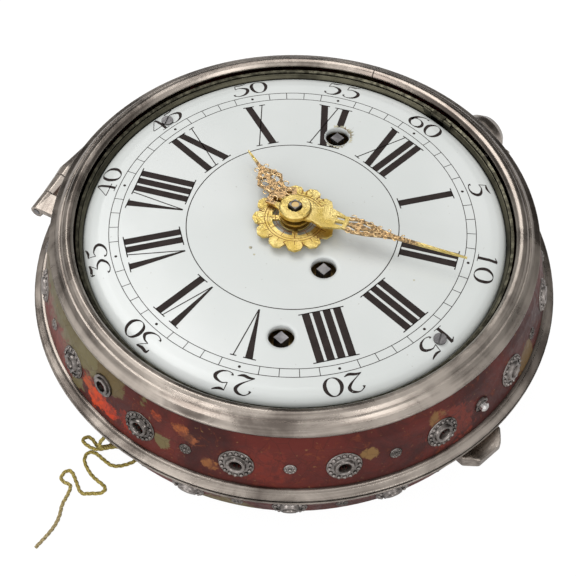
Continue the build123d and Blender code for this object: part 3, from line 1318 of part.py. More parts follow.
# Pull cord: out of its bush, down behind the case to the table, out and back in one tight bight, then the tail
cord_exit = cord_plane.offset(BUSH_LIP)
exit_point = cord_exit.origin
exit_step = exit_point + cord_exit.z_dir * EXIT_RUN
CORD_POINTS = [
    (exit_point.X, exit_point.Y, exit_point.Z),
    (exit_step.X, exit_step.Y, exit_step.Z),
    (-0.3, -63.4, 17.6),
    (-1.0, -60.2, 13.6),
    (-3.3, -55.8, 6.6),
    (-5.1, -52.0, 2.0),
    (-6.6, -49.9, 0.5),
    (-9.1, -50.9, 0.5),
    (-7.2, -54.9, 0.5),
    (-9.2, -58.9, 0.5),
    (-12.4, -58.0, 0.5),
    (-13.9, -58.9, 0.7),
    (-13.4, -60.5, 1.1),
    (-11.6, -60.6, 1.4),
    (-8.5, -59.9, 1.7),
    (-6.3, -55.7, 1.5),
    (-3.9, -53.2, 0.6),
    (-0.6, -52.4, 0.5),
    (0.1, -54.9, 0.5),
    (-2.3, -59.5, 0.5),
    (-5.9, -59.9, 0.5),
    (-9.0, -60.1, 0.5),
    (-10.2, -61.4, 0.5),
    (-9.3, -63.4, 0.5),
    (-6.7, -64.4, 0.5),
    (-3.6, -64.9, 0.5),
    (0.9, -64.2, 0.5),
    (1.2, -66.2, 0.5),
    (-0.6, -68.0, 0.5),
    (-2.2, -70.0, 0.5),
    (-5.4, -68.7, 0.5),
    (-9.0, -67.4, 0.5),
    (-9.9, -69.0, 0.5),
    (-9.0, -71.0, 0.5),
    (-7.3, -70.8, 0.5),
    (-5.7, -70.0, 0.5),
    (-4.2, -72.4, 0.5),
    (-3.2, -75.0, 0.5),
    (-0.8, -77.6, 0.5),
    (0.8, -81.4, 0.5),
    (1.5, -86.6, 0.5),
]
runs = [Vector(*CORD_POINTS[k + 1]) - Vector(*CORD_POINTS[k]) for k in range(len(CORD_POINTS) - 1)]
radii = []
for before, after in zip(runs[:-1], runs[1:]):
    half_turn = radians(before.get_angle(after)) / 2
    radii.append(0.45 * min(before.length, after.length) / tan(half_turn))
print("cord radii", [round(r, 2) for r in radii])
with BuildPart() as pull_cord:
    with BuildLine() as route:
        FilletPolyline(*CORD_POINTS, radius=radii)
    with BuildSketch(Plane(origin=route.line @ 0, z_dir=route.line % 0)):
        rod(CORD_R, CORD_SIDES)
    sweep(path=route.line)
cord_length = sum(edge.length for edge in route.line.edges())
section_area = CORD_SIDES / 2 * CORD_R**2 * sin(2 * pi / CORD_SIDES)
print("cord length", round(cord_length, 2), "volume share", round(pull_cord.part.volume / (section_area * cord_length), 4))
save(pull_cord, "pull_cord")
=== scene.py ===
# Coach clock: the look of every piece, with floor, light and camera. Lengths on the clock are
# given in millimetres and multiplied by MM; the floor, the lights and the camera are in metres.
import math
import random

import bpy
from mathutils import Matrix, Vector


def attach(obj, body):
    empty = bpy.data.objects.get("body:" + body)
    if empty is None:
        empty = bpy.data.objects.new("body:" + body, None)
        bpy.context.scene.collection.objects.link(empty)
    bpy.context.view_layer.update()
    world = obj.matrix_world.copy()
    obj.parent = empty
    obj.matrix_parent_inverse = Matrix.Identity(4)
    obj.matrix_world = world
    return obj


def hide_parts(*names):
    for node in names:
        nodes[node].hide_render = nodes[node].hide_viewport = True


MM = 0.001
random.seed(7)

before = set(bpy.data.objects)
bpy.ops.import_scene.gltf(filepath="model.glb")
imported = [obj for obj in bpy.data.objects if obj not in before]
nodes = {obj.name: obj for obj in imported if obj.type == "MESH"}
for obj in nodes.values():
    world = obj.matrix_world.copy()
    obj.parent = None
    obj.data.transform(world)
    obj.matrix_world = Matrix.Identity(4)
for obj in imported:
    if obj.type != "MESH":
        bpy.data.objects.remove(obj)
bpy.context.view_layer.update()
scene = bpy.context.scene


# ---------------------------------------------------------------- node graphs
MIX_AMOUNT, MIX_FROM, MIX_TO, MIX_RESULT = 0, 6, 7, 2  # sockets of a Mix node that mixes colours


class Graph:
    """Short names for the nodes of one tree."""

    def __init__(self, tree):
        self.tree = tree

    def node(self, kind, **settings):
        made = self.tree.nodes.new(kind)
        for name, value in settings.items():
            setattr(made, name, value)
        return made

    def put(self, socket, value):
        """Links another socket to this one, or sets it to a plain value."""
        if isinstance(value, bpy.types.NodeSocket):
            self.tree.links.new(value, socket)
        elif isinstance(value, (tuple, list)) and len(value) == 3 and socket.type == "RGBA":
            socket.default_value = (*value, 1)
        else:
            socket.default_value = value

    def math(self, operation, a, b=0.0):
        n = self.node("ShaderNodeMath", operation=operation)
        self.put(n.inputs[0], a)
        self.put(n.inputs[1], b)
        return n.outputs[0]

    def times(self, a, b):
        return self.math("MULTIPLY", a, b)

    def plus(self, a, b):
        return self.math("ADD", a, b)

    def mix(self, amount, a, b):
        n = self.node("ShaderNodeMix", data_type="RGBA")
        self.put(n.inputs[MIX_AMOUNT], amount)
        self.put(n.inputs[MIX_FROM], a)
        self.put(n.inputs[MIX_TO], b)
        return n.outputs[MIX_RESULT]


class Look(Graph):
    """One material, with patterns that lie in the piece's own coordinates."""

    def __init__(self, name):
        self.material = bpy.data.materials.new(name)
        self.material.use_nodes = True
        super().__init__(self.material.node_tree)
        self.surface = self.tree.nodes["Principled BSDF"]
        self.place = self.node("ShaderNodeTexCoord").outputs["Object"]

    def noise(self, scale, detail, rough, distortion=0.0, vector=None):
        n = self.node("ShaderNodeTexNoise")
        self.put(n.inputs["Vector"], self.place if vector is None else vector)
        for name, value in (("Scale", scale), ("Detail", detail), ("Roughness", rough),
                            ("Distortion", distortion)):
            self.put(n.inputs[name], value)
        return n.outputs["Fac"]

    def cells(self, scale):
        """The distance to the nearest edge of a net of cells."""
        n = self.node("ShaderNodeTexVoronoi", feature="DISTANCE_TO_EDGE")
        self.put(n.inputs["Vector"], self.place)
        self.put(n.inputs["Scale"], scale)
        return n.outputs["Distance"]

    def step(self, value, low, high, start=0.0, end=1.0):
        """Goes smoothly from start to end as the value goes from low to high."""
        n = self.node("ShaderNodeMapRange", interpolation_type="SMOOTHSTEP")
        for i, v in enumerate((value, low, high, start, end)):
            self.put(n.inputs[i], v)
        return n.outputs[0]

    def split(self):
        n = self.node("ShaderNodeSeparateXYZ")
        self.put(n.inputs[0], self.place)
        return n.outputs

    def join(self, x, y, z):
        n = self.node("ShaderNodeCombineXYZ")
        for socket, value in zip(n.inputs, (x, y, z)):
            self.put(socket, value)
        return n.outputs[0]

    def radius(self):
        """The distance from the case's axis."""
        x, y, _ = self.split()
        return self.math("SQRT", self.plus(self.times(x, x), self.times(y, y)))

    def patch(self, centre, size, edge=0.25, wobble=1.0, scale=210.0):
        """1 inside a ragged spot round a point, 0 outside it."""
        away = self.node("ShaderNodeVectorMath", operation="DISTANCE")
        self.put(away.inputs[0], self.place)
        self.put(away.inputs[1], tuple(c * MM for c in centre))
        either_way = self.math("SUBTRACT", self.noise(scale, detail=9, rough=0.75), 0.5)
        reach = self.plus(away.outputs["Value"], self.times(either_way, size * MM * wobble * 3))
        return self.step(reach, size * MM * (1 + edge / 2), size * MM * (1 - edge / 2))

    def grime(self, reach):
        """Painted shade: 1 in grooves and corners up to reach across, where ambient occlusion finds
        shade, 0 on open faces.
        """
        n = self.node("ShaderNodeAmbientOcclusion", samples=8)
        self.put(n.inputs["Distance"], reach * MM)
        return self.step(n.outputs["AO"], 0.95, 0.35)

    def bump(self, height, depth, strength, edge=0.0):
        """Fine relief of a depth, on edges rounded over edge."""
        n = self.node("ShaderNodeBump")
        if edge:
            soft = self.node("ShaderNodeBevel", samples=6)
            self.put(soft.inputs["Radius"], edge * MM)
            self.put(n.inputs["Normal"], soft.outputs["Normal"])
        self.put(n.inputs["Height"], height)
        self.put(n.inputs["Strength"], strength)
        self.put(n.inputs["Distance"], depth * MM)
        self.put(self.surface.inputs["Normal"], n.outputs["Normal"])

    def finish(self, colour, metal, rough, **more):
        for name, value in {"Base Color": colour, "Metallic": metal, "Roughness": rough,
                            **more}.items():
            self.put(self.surface.inputs[name], value)
        return self.material


TURNING_LINES, DRIFT = 900.0, 30.0  # how fast the marks change across and along the turning
CUT_CLEAR, CUT_DARK = 0.20, 0.08  # the soldered cut fades in between these, from its middle
CUT_FROM_Y, CUT_FROM_Z = (40, 41), (46.6, 46.8)  # and along these y and z


def turned_metal(name, light, dark, shade_and_joint, rough, shade_reach=1.6, edge=0.0, cut=None):
    """Metal with cloudy tarnish, fine turning marks round the axis and painted shade in its
    grooves.

    cut is the angle of a thin soldered joint across the bezel.
    """
    g = Look(name)
    x, y, z = g.split()
    around = g.join(g.plus(g.times(g.radius(), TURNING_LINES), g.times(x, DRIFT)),
                    g.times(z, TURNING_LINES), g.times(y, DRIFT))
    streaks = g.noise(1.0, detail=3, rough=0.6, vector=around)
    clouds = g.noise(70.0, detail=5, rough=0.6, distortion=0.6)
    tone = g.plus(g.times(clouds, 0.65), g.times(streaks, 0.35))
    colour = g.mix(g.step(tone, 0.36, 0.64), dark, light)
    # painted shade: darker in grooves and corners, where ambient occlusion finds them
    colour = g.mix(g.times(g.grime(shade_reach), 0.8), colour, shade_and_joint)
    if cut is not None:
        a = math.radians(cut)
        across = g.math("SUBTRACT", g.times(y, math.cos(a)), g.times(x, math.sin(a)))
        slit = g.step(g.math("ABSOLUTE", across), CUT_CLEAR * MM, CUT_DARK * MM)
        for value, (low, high) in ((y, CUT_FROM_Y), (z, CUT_FROM_Z)):
            slit = g.times(slit, g.step(value, low * MM, high * MM))
        colour = g.mix(slit, colour, shade_and_joint)
    relief = g.plus(g.noise(650.0, detail=4, rough=0.7), g.times(streaks, 0.6))
    g.bump(relief, depth=0.04, strength=0.5, edge=edge)
    return g.finish(colour, metal=1.0,
                    rough=g.step(clouds, 0.3, 0.7, rough - 0.09, rough + 0.12))


MOUTH_FROM, MOUTH_FULL = 43.0, 44.5  # heights between which the inner case turns dark


def mouth_metal():
    """The inner case is brass, but its mouth beside the dial has gone dark."""
    g = Look("inner_case_finish")
    _, _, z = g.split()
    clouds = g.noise(120.0, detail=5, rough=0.6)
    yellow = g.mix(g.step(clouds, 0.35, 0.65), (0.40, 0.27, 0.11), (0.62, 0.44, 0.2))
    dark = g.mix(g.step(g.noise(420.0, detail=5, rough=0.7), 0.4, 0.7),
                 (0.03, 0.028, 0.02), (0.15, 0.14, 0.1))
    g.bump(g.noise(700.0, detail=4, rough=0.7), depth=0.04, strength=0.4)
    return g.finish(g.mix(g.step(z, MOUTH_FROM * MM, MOUTH_FULL * MM), yellow, dark),
                    metal=1.0, rough=0.4)


SIDE_R = 60.0
# patches of the case side: (angle, height, size, colour)
BARE_PATCHES = (
    (-97, 45.0, 6.5, (0.150, 0.125, 0.058)), (-106, 43.5, 6.0, (0.135, 0.110, 0.052)),
    (-117, 43.0, 7.0, (0.125, 0.105, 0.052)), (-129, 42.0, 7.0, (0.110, 0.085, 0.045)),
    (-88, 44.5, 4.5, (0.120, 0.085, 0.035)), (-144, 40.0, 8.0, (0.100, 0.060, 0.034)),
    (-99, 33.0, 3.0, (0.150, 0.120, 0.055)), (-73, 36.0, 2.0, (0.150, 0.115, 0.050)),
    (-78, 45.5, 2.0, (0.120, 0.090, 0.035)), (-28, 39.0, 2.0, (0.200, 0.110, 0.038)),
    (-12, 42.0, 2.5, (0.200, 0.100, 0.035)), (170, 37.0, 9.0, (0.100, 0.070, 0.035)),
    (118, 36.0, 8.0, (0.110, 0.080, 0.040)), (60, 40.0, 6.0, (0.130, 0.100, 0.045)),
    (18, 33.0, 4.0, (0.150, 0.090, 0.035)), (-60, 15.0, 7.0, (0.120, 0.090, 0.040)),
    (30, 12.0, 8.0, (0.110, 0.080, 0.040)), (-150, 10.0, 8.0, (0.120, 0.090, 0.045)),
)
BRIGHT_PATCHES = (
    (-91.5, 34.5, 3.3, (0.56, 0.055, 0.012)), (-87, 34.0, 2.4, (0.48, 0.042, 0.012)),
    (-95, 36.5, 2.0, (0.42, 0.070, 0.018)), (-82, 35.0, 2.8, (0.24, 0.026, 0.013)),
    (-107, 34.0, 6.0, (0.20, 0.062, 0.050)), (-117, 35.0, 6.5, (0.17, 0.046, 0.036)),
    (-69, 42.5, 2.0, (0.30, 0.085, 0.025)), (-75, 43.0, 1.7, (0.30, 0.050, 0.016)),
    (-66, 40.5, 1.6, (0.26, 0.080, 0.030)), (-62, 34.5, 1.8, (0.24, 0.090, 0.030)),
    (-50, 37.0, 5.0, (0.15, 0.022, 0.014)), (-8, 37.0, 6.0, (0.16, 0.028, 0.018)),
)


def on_side(angle, height):
    """A point on the case side."""
    a = math.radians(angle)
    return (SIDE_R * math.cos(a), SIDE_R * math.sin(a), height)


def horn():
    """Thin clear horn over red paint: crazed, browned, with bare olive patches and bright red."""
    g = Look("horn_over_red_paint")
    clouds = g.noise(38.0, detail=6, rough=0.62, distortion=0.8)
    fine = g.noise(300.0, detail=6, rough=0.7, distortion=1.2)
    colour = g.mix(g.step(clouds, 0.35, 0.66), (0.042, 0.009, 0.008), (0.112, 0.017, 0.012))
    colour = g.mix(g.step(fine, 0.55, 0.70, 0.0, 0.6), colour, (0.19, 0.048, 0.018))
    for angle, height, size, bare in BARE_PATCHES:
        colour = g.mix(g.patch(on_side(angle, height), size), colour, bare)
    for angle, height, size, bright in BRIGHT_PATCHES:
        spot = g.patch(on_side(angle, height), size, edge=0.3, wobble=1.3, scale=300.0)
        broken = g.times(spot, g.step(fine, 0.40, 0.56, 0.25, 1.0))
        colour = g.mix(broken, colour, bright)
    specks = g.step(g.noise(900.0, detail=3, rough=0.6), 0.66, 0.72)
    colour = g.mix(g.times(specks, 0.45), colour, (0.28, 0.16, 0.06))
    cracks = g.step(g.cells(230.0), 0.035, 0.0, 0.0, 0.30)
    colour = g.mix(cracks, colour, (0.03, 0.010, 0.007))
    # painted shade: the horn darkens in the corners beside rosettes, studs and rings
    colour = g.mix(g.times(g.grime(2.2), 0.7), colour, (0.018, 0.012, 0.009))
    g.bump(g.plus(fine, clouds), depth=0.12, strength=0.5, edge=1.2)
    return g.finish(colour, metal=0.0, rough=g.step(fine, 0.3, 0.7, 0.34, 0.6),
                    **{"Coat Weight": 0.05, "Coat Roughness": 0.15, "Specular IOR Level": 0.14})


RIM_SHADE_FROM, RIM_SHADE_FULL = 49.2, 50.2  # radii between which the enamel turns darker: painted shade where its face curves down


def enamel():
    """White enamel, very slightly grey and uneven, with pinholes and painted shade darkening its
    rim where it curves down.
    """
    g = Look("white_enamel")
    clouds = g.noise(30.0, detail=4, rough=0.5)
    colour = g.mix(g.step(clouds, 0.35, 0.65), (0.605, 0.628, 0.612), (0.645, 0.664, 0.650))
    pits = g.step(g.noise(1100.0, detail=2, rough=0.5), 0.735, 0.78)
    colour = g.mix(g.times(pits, 0.35), colour, (0.30, 0.27, 0.22))
    # painted shade: the enamel darkens toward its rim, where its face curves down toward the bezel
    rim_shade = g.step(g.radius(), RIM_SHADE_FROM * MM, RIM_SHADE_FULL * MM, 0.0, 0.35)
    colour = g.mix(rim_shade, colour, (0.42, 0.45, 0.42))
    g.bump(g.noise(90.0, detail=3, rough=0.5), depth=0.03, strength=0.3, edge=1.3)
    return g.finish(colour, metal=0.0, rough=0.24, **{"Coat Weight": 0.15, "Coat Roughness": 0.06})


def gilt(name, rose=None):
    """Fire gilding, engraved all over; rose is a pair of radii between which it is redder."""
    g = Look(name)
    colour = g.mix(g.step(g.noise(260.0, detail=5, rough=0.65), 0.35, 0.65),
                   (0.58, 0.42, 0.11), (0.84, 0.67, 0.27))
    if rose:
        inner, outer = rose
        r = g.radius()
        inside = g.times(g.step(r, (inner - 1) * MM, inner * MM),
                         g.step(r, outer * MM, (outer - 2) * MM))
        rosy = g.mix(g.step(g.cells(1000.0), 0.10, 0.17), (0.58, 0.38, 0.19), (0.26, 0.18, 0.10))
        colour = g.mix(inside, colour, rosy)
    graved = g.noise(1500.0, detail=2, rough=0.5, distortion=2.5)
    colour = g.mix(g.step(graved, 0.42, 0.30, 0.0, 0.55), colour, (0.20, 0.085, 0.02))
    # painted shade: the gilding darkens in the hands' openings and corners
    colour = g.mix(g.times(g.grime(0.7), 0.5), colour, (0.16, 0.07, 0.02))
    g.bump(graved, depth=0.12, strength=0.8)
    return g.finish(colour, metal=1.0, rough=0.30)


def paint(name, colour, rough, vary=0.25):
    """A dull colour, darker in places by the share vary."""
    g = Look(name)
    darker = tuple(c * (1 - vary) for c in colour)
    clouds = g.step(g.noise(500.0, detail=4, rough=0.6), 0.35, 0.65)
    return g.finish(g.mix(clouds, darker, colour), metal=0.0, rough=rough,
                    **{"Specular IOR Level": 0.15})


GOLD_TO, BROWN_FROM = -66.0, -80.0  # the cord's colour changes between these two y


def cord_fibre():
    """Old twisted cord, olive gold near the case and browner toward its end."""
    g = Look("twisted_cord")
    _, y, _ = g.split()
    fibre = g.noise(2600.0, detail=3, rough=0.6)
    clear = g.step(fibre, 0.35, 0.65)
    gold = g.mix(clear, (0.19, 0.145, 0.03), (0.50, 0.40, 0.105))
    brown = g.mix(clear, (0.20, 0.155, 0.07), (0.46, 0.37, 0.19))
    g.bump(fibre, depth=0.12, strength=0.8)
    return g.finish(g.mix(g.step(y, GOLD_TO * MM, BROWN_FROM * MM), gold, brown),
                    metal=0.0, rough=0.85)


# the finish of each slot; a metal's three colours are its light, its dark and the painted shade of
# its grooves, which also colours the bezel's joint
finishes = {
    "silver": turned_metal("worn_silver", (0.46, 0.405, 0.355), (0.15, 0.125, 0.108),
                           (0.016, 0.013, 0.011), 0.26, shade_reach=1.5, edge=0.45, cut=113.4),
    "horn": horn(),
    "steel": turned_metal("filed_steel", (0.30, 0.29, 0.29), (0.12, 0.115, 0.12),
                          (0.02, 0.018, 0.016), 0.38),
    "brass": turned_metal("old_brass", (0.66, 0.47, 0.22), (0.40, 0.27, 0.11),
                          (0.05, 0.035, 0.018), 0.36),
    "bell_metal": turned_metal("bell_metal_finish", (0.55, 0.42, 0.25), (0.30, 0.22, 0.12),
                               (0.04, 0.03, 0.02), 0.32),
    "dark_bronze": turned_metal("dark_worn_bronze", (0.145, 0.135, 0.095), (0.035, 0.033, 0.024),
                                (0.008, 0.007, 0.006), 0.42, shade_reach=0.8, edge=0.3),
    "enamel": enamel(),
    "gilt": gilt("fire_gilt"),
    "cord": cord_fibre(),
}
for node in nodes.values():
    for held in node.material_slots:
        slot = held.material.name.split(".")[0] if held.material else None
        if slot in finishes:
            held.material = finishes[slot]

tarnished = turned_metal("tarnished_silver", (0.36, 0.325, 0.305), (0.10, 0.088, 0.08),
                         (0.012, 0.010, 0.009), 0.30, shade_reach=0.9)
rose_gilt = turned_metal("rose_gilt", (0.92, 0.71, 0.40), (0.78, 0.54, 0.27),
                         (0.30, 0.15, 0.06), 0.3, shade_reach=0.2)
# pieces that look unlike the rest of their slot
own = {
    "front_eyelet": tarnished, "cord_eyelet": tarnished, "pin_bush": tarnished,
    "push_pin": turned_metal("polished_steel", (0.72, 0.70, 0.68), (0.45, 0.43, 0.42),
                             (0.1, 0.09, 0.08), 0.3),
    "inner_case": mouth_metal(),
    "minute_hand": gilt("minute_hand_gilt", rose=(13.5, 31)),
    "hour_hand": gilt("hour_hand_gilt", rose=(6, 20)),
}
for name, look in own.items():
    nodes[name].material_slots[0].material = look


# ---------------------------------------------------------------- meshes
class Shape:
    """Points and faces gathered for one mesh."""

    def __init__(self):
        self.points, self.faces = [], []

    def add(self, points, faces):
        base = len(self.points)
        self.points += [tuple(p) for p in points]
        self.faces += [tuple(base + i for i in face) for face in faces]

    def turned(self, place, profile, steps, centre=(0.0, 0.0)):
        """Turns (radius, height) points round an axis that stands at centre on a place."""
        points, faces, rows = [], [], len(profile)
        for s in range(steps):
            a = math.tau * s / steps
            points += [place @ Vector((centre[0] + r * math.cos(a), centre[1] + r * math.sin(a), h))
                       for r, h in profile]
        for s in range(steps):
            t = (s + 1) % steps
            faces += [(s * rows + k, t * rows + k, t * rows + k + 1, s * rows + k + 1)
                      for k in range(rows - 1)]
        self.add(points, faces)


def mesh_object(name, shape, material, body, rounded=False):
    data = bpy.data.meshes.new(name)
    data.from_pydata([Vector(p) * MM for p in shape.points], [], shape.faces)
    data.validate()
    data.update()
    data.materials.append(material)
    if rounded:
        data.shade_smooth()
    made = bpy.data.objects.new(name, data)
    scene.collection.objects.link(made)
    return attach(made, body)


def tube_faces(rings, sides):
    """Quads between rings of points that follow each other."""
    return [(i * sides + k, i * sides + (k + 1) % sides,
             (i + 1) * sides + (k + 1) % sides, (i + 1) * sides + k)
            for i in range(rings - 1) for k in range(sides)]


# ---------------------------------------------------------------- rosettes and studs
# (radius, height, tilt in degrees) of the line where they sit on each half of the case side
FRONT_SEAT, BACK_SEAT = (60.083, 36.8, 12.434), (60.731, 20.848, -12.6)
PLACES = 16
STEP = 360 / PLACES
# one is left out at 0 for the push pin or the thumb lip, at 4 for the pendant and at 12 for an
# eyelet
FRONT_ROSETTES = [STEP / 2 + STEP * k for k in range(PLACES)]
FRONT_STUDS = [STEP * k for k in range(PLACES) if k not in (0, 12)]
BACK_ROSETTES = [STEP * k for k in range(PLACES) if k not in (0, 4, 12)]
BACK_STUDS = FRONT_ROSETTES
# (radius, height) profiles, from the outer edge inward
ROSETTE = [(4.0, -0.12), (4.0, 0.08), (3.85, 0.2), (2.75, 0.2), (2.5, 0.12), (2.25, 0.3),
           (2.2, 0.85), (2.1, 1.02), (1.9, 1.1), (1.68, 1.06), (1.5, 0.9), (1.36, 0.7),
           (1.36, -4.0)]
STUD = [(1.45, -0.12), (1.42, 0.08), (1.2, 0.2), (0.0, 0.25)]
BEAD_ARCS = (0, 0.4, 0.8, 1.2, 1.5)  # radians up the side of a bead
BEAD_SIDES, BEAD_SQUAT, BEAD_SINKS = 12, 0.9, 0.1


def seat(angle, side):
    """A place on the sloping case side: x along the side, z straight out of it."""
    radius, height, tilt = side
    a, t = math.radians(angle), math.radians(tilt)
    x = Vector((-math.sin(a), math.cos(a), 0))
    z = Vector((math.cos(a) * math.cos(t), math.sin(a) * math.cos(t), math.sin(t)))
    origin = Vector((radius * math.cos(a), radius * math.sin(a), height))
    y = z.cross(x)
    return Matrix.Translation(origin) @ Matrix((x, y, z)).transposed().to_4x4()


def bead(shape, place, centre, size, lift):
    profile = [(size * math.cos(q), lift + size * BEAD_SQUAT * math.sin(q)) for q in BEAD_ARCS]
    shape.turned(place, [(size, lift - BEAD_SINKS), *profile], BEAD_SIDES, centre)


def bead_ring(shape, place, count, radius, size, lift):
    for k in range(count):
        a = math.tau * k / count
        bead(shape, place, (radius * math.cos(a), radius * math.sin(a)), size, lift)


def rosette(shape, place):
    """A pierced disc with a ring of beads and a raised tube round its hole."""
    shape.turned(place, ROSETTE, steps=48)
    bead_ring(shape, place, count=16, radius=3.36, size=0.47, lift=0.25)


def stud(shape, place):
    """A small cluster of beads round a pip."""
    shape.turned(place, STUD, steps=24)
    bead_ring(shape, place, count=8, radius=0.98, size=0.3, lift=0.15)
    bead(shape, place, (0.0, 0.0), size=0.42, lift=0.25)


for name, maker, angles, where, body in (
    ("front_rosettes", rosette, FRONT_ROSETTES, FRONT_SEAT, "front_case"),
    ("back_rosettes", rosette, BACK_ROSETTES, BACK_SEAT, "back_case"),
    ("front_studs", stud, FRONT_STUDS, FRONT_SEAT, "front_case"),
    ("back_studs", stud, BACK_STUDS, BACK_SEAT, "back_case"),
):
    made = Shape()
    for angle in angles:
        maker(made, seat(angle, where))
    piece = mesh_object(name + "_detailed", made, tarnished, body, rounded=True)
    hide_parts(name)

# ---------------------------------------------------------------- print on the enamel
PRINT_CENTRE = Vector((-0.39, -0.39))
HOLES = (Vector((-12.8, 27.2)), Vector((14.2, -4.5)), Vector((21.3, -24.9)))
HOLE_R = 3.15  # of a winding hole, with a little room
# a numeral's stroke this close to a hole is cut into so many bits
BAR_REACH, BITS_ALONG, BITS_ACROSS = 12.0, 64, 8
INK_LIFT = 0.03
ENAMEL_TOP = 47.5
# (radius, height from the top) along the dial's face, as in the CAD
ENAMEL_EDGE = [(0.0, 0.0), (46.4, 0.0), (48.25, -0.40), (49.40, -1.0), (50.1, -1.75)]


def enamel_height(r):
    for (r0, h0), (r1, h1) in zip(ENAMEL_EDGE, ENAMEL_EDGE[1:]):
        if r <= r1:
            return ENAMEL_TOP + h0 + (h1 - h0) * (r - r0) / (r1 - r0)
    return ENAMEL_TOP + ENAMEL_EDGE[-1][1]


def on_dial(p, lift=INK_LIFT):
    """A point of the plan, laid on the dial's face."""
    return (p.x, p.y, enamel_height(math.hypot(p.x, p.y)) + lift)


def unit_ring(steps):
    """Directions evenly round a circle."""
    turns = [math.tau * s / steps for s in range(steps)]
    return [Vector((math.cos(a), math.sin(a))) for a in turns]


class Print(Shape):
    """Flat drawing laid on the dial, or at a height of its own."""

    def __init__(self, height=None, centre=PRINT_CENTRE):
        super().__init__()
        self.height, self.centre = height, centre

    def lay(self, p):
        p = p + self.centre
        return (p.x, p.y, self.height) if self.height is not None else on_dial(p)

    def band(self, left, right, closed=False):
        """Fills between two rows of points."""
        n = len(left)
        points = [self.lay(p) for pair in zip(left, right) for p in pair]
        last = n if closed else n - 1
        self.add(points, [(2 * i, 2 * i + 1, (2 * i + 3) % (2 * n), (2 * i + 2) % (2 * n))
                          for i in range(last)])

    def bar(self, left, right):
        """A four-cornered stroke between two sides, each a pair of ends.

        Close to a winding hole it is cut into bits, and the bits over the hole are left out.
        """
        middle = (left[0] + left[1] + right[0] + right[1]) / 4 + self.centre
        if min((middle - hole).length for hole in HOLES) > BAR_REACH:
            self.band(left, right)
            return
        for i in range(BITS_ALONG):
            for j in range(BITS_ACROSS):
                bit = []
                for s, q in ((i, j), (i + 1, j), (i + 1, j + 1), (i, j + 1)):
                    start = left[0].lerp(left[1], s / BITS_ALONG)
                    end = right[0].lerp(right[1], s / BITS_ALONG)
                    bit.append(start.lerp(end, q / BITS_ACROSS))
                if all((p + self.centre - hole).length > HOLE_R for p in bit for hole in HOLES):
                    self.add([self.lay(p) for p in bit], [(0, 1, 2, 3)])

    def circle(self, radius, width, steps=180):
        ring = unit_ring(steps)
        self.band([p * (radius + width / 2) for p in ring],
                  [p * (radius - width / 2) for p in ring], closed=True)

    def dot(self, centre, radius, steps=14):
        self.add([self.lay(centre + ray * radius) for ray in unit_ring(steps)],
                 [tuple(range(steps))])

    def stroke(self, line):
        """A line of (point, width) pairs."""
        left, right = [], []
        for i, (p, width) in enumerate(line):
            ahead = line[min(i + 1, len(line) - 1)][0] - line[max(i - 1, 0)][0]
            side = Vector((-ahead.y, ahead.x))
            side = side.normalized() * width / 2 if side.length else Vector((0, width / 2))
            left.append(p + side)
            right.append(p - side)
        self.band(left, right)


def numeral_axes(minute):
    """Up points outward and right runs clockwise at a minute of the dial."""
    a = math.radians(90 - 6 * minute)
    return Vector((math.cos(a), math.sin(a))), Vector((math.sin(a), -math.cos(a)))


ROMAN_IN, ROMAN_OUT = 26.3, 39.7  # radii of the numerals' ends
THICK, HAIR = 1.78, 0.26  # widths of the strokes
I_WIDTH, V_WIDTH, X_WIDTH, LETTER_GAP = 2.42, 4.5, 5.0, 0.5
SERIF_OVER, SERIF_SHORT, SERIF_NARROW = 0.75, 0.45, 0.5  # how far a serif passes its stroke
V_FOOT, V_POINT, V_HAIR_OFF = 0.25, 0.35, 0.1  # the point of a V: place, width, hairline's shift
X_HAIR_IN = 0.6  # from the side of an X to the end of its hairline
ROMANS = {5: "I", 10: "II", 15: "III", 20: "IIII", 25: "V", 30: "VI", 35: "VII", 40: "VIII",
          45: "IX", 50: "X", 55: "XI", 60: "XII"}
WIDTHS = {"I": I_WIDTH, "V": V_WIDTH + LETTER_GAP, "X": X_WIDTH + LETTER_GAP}


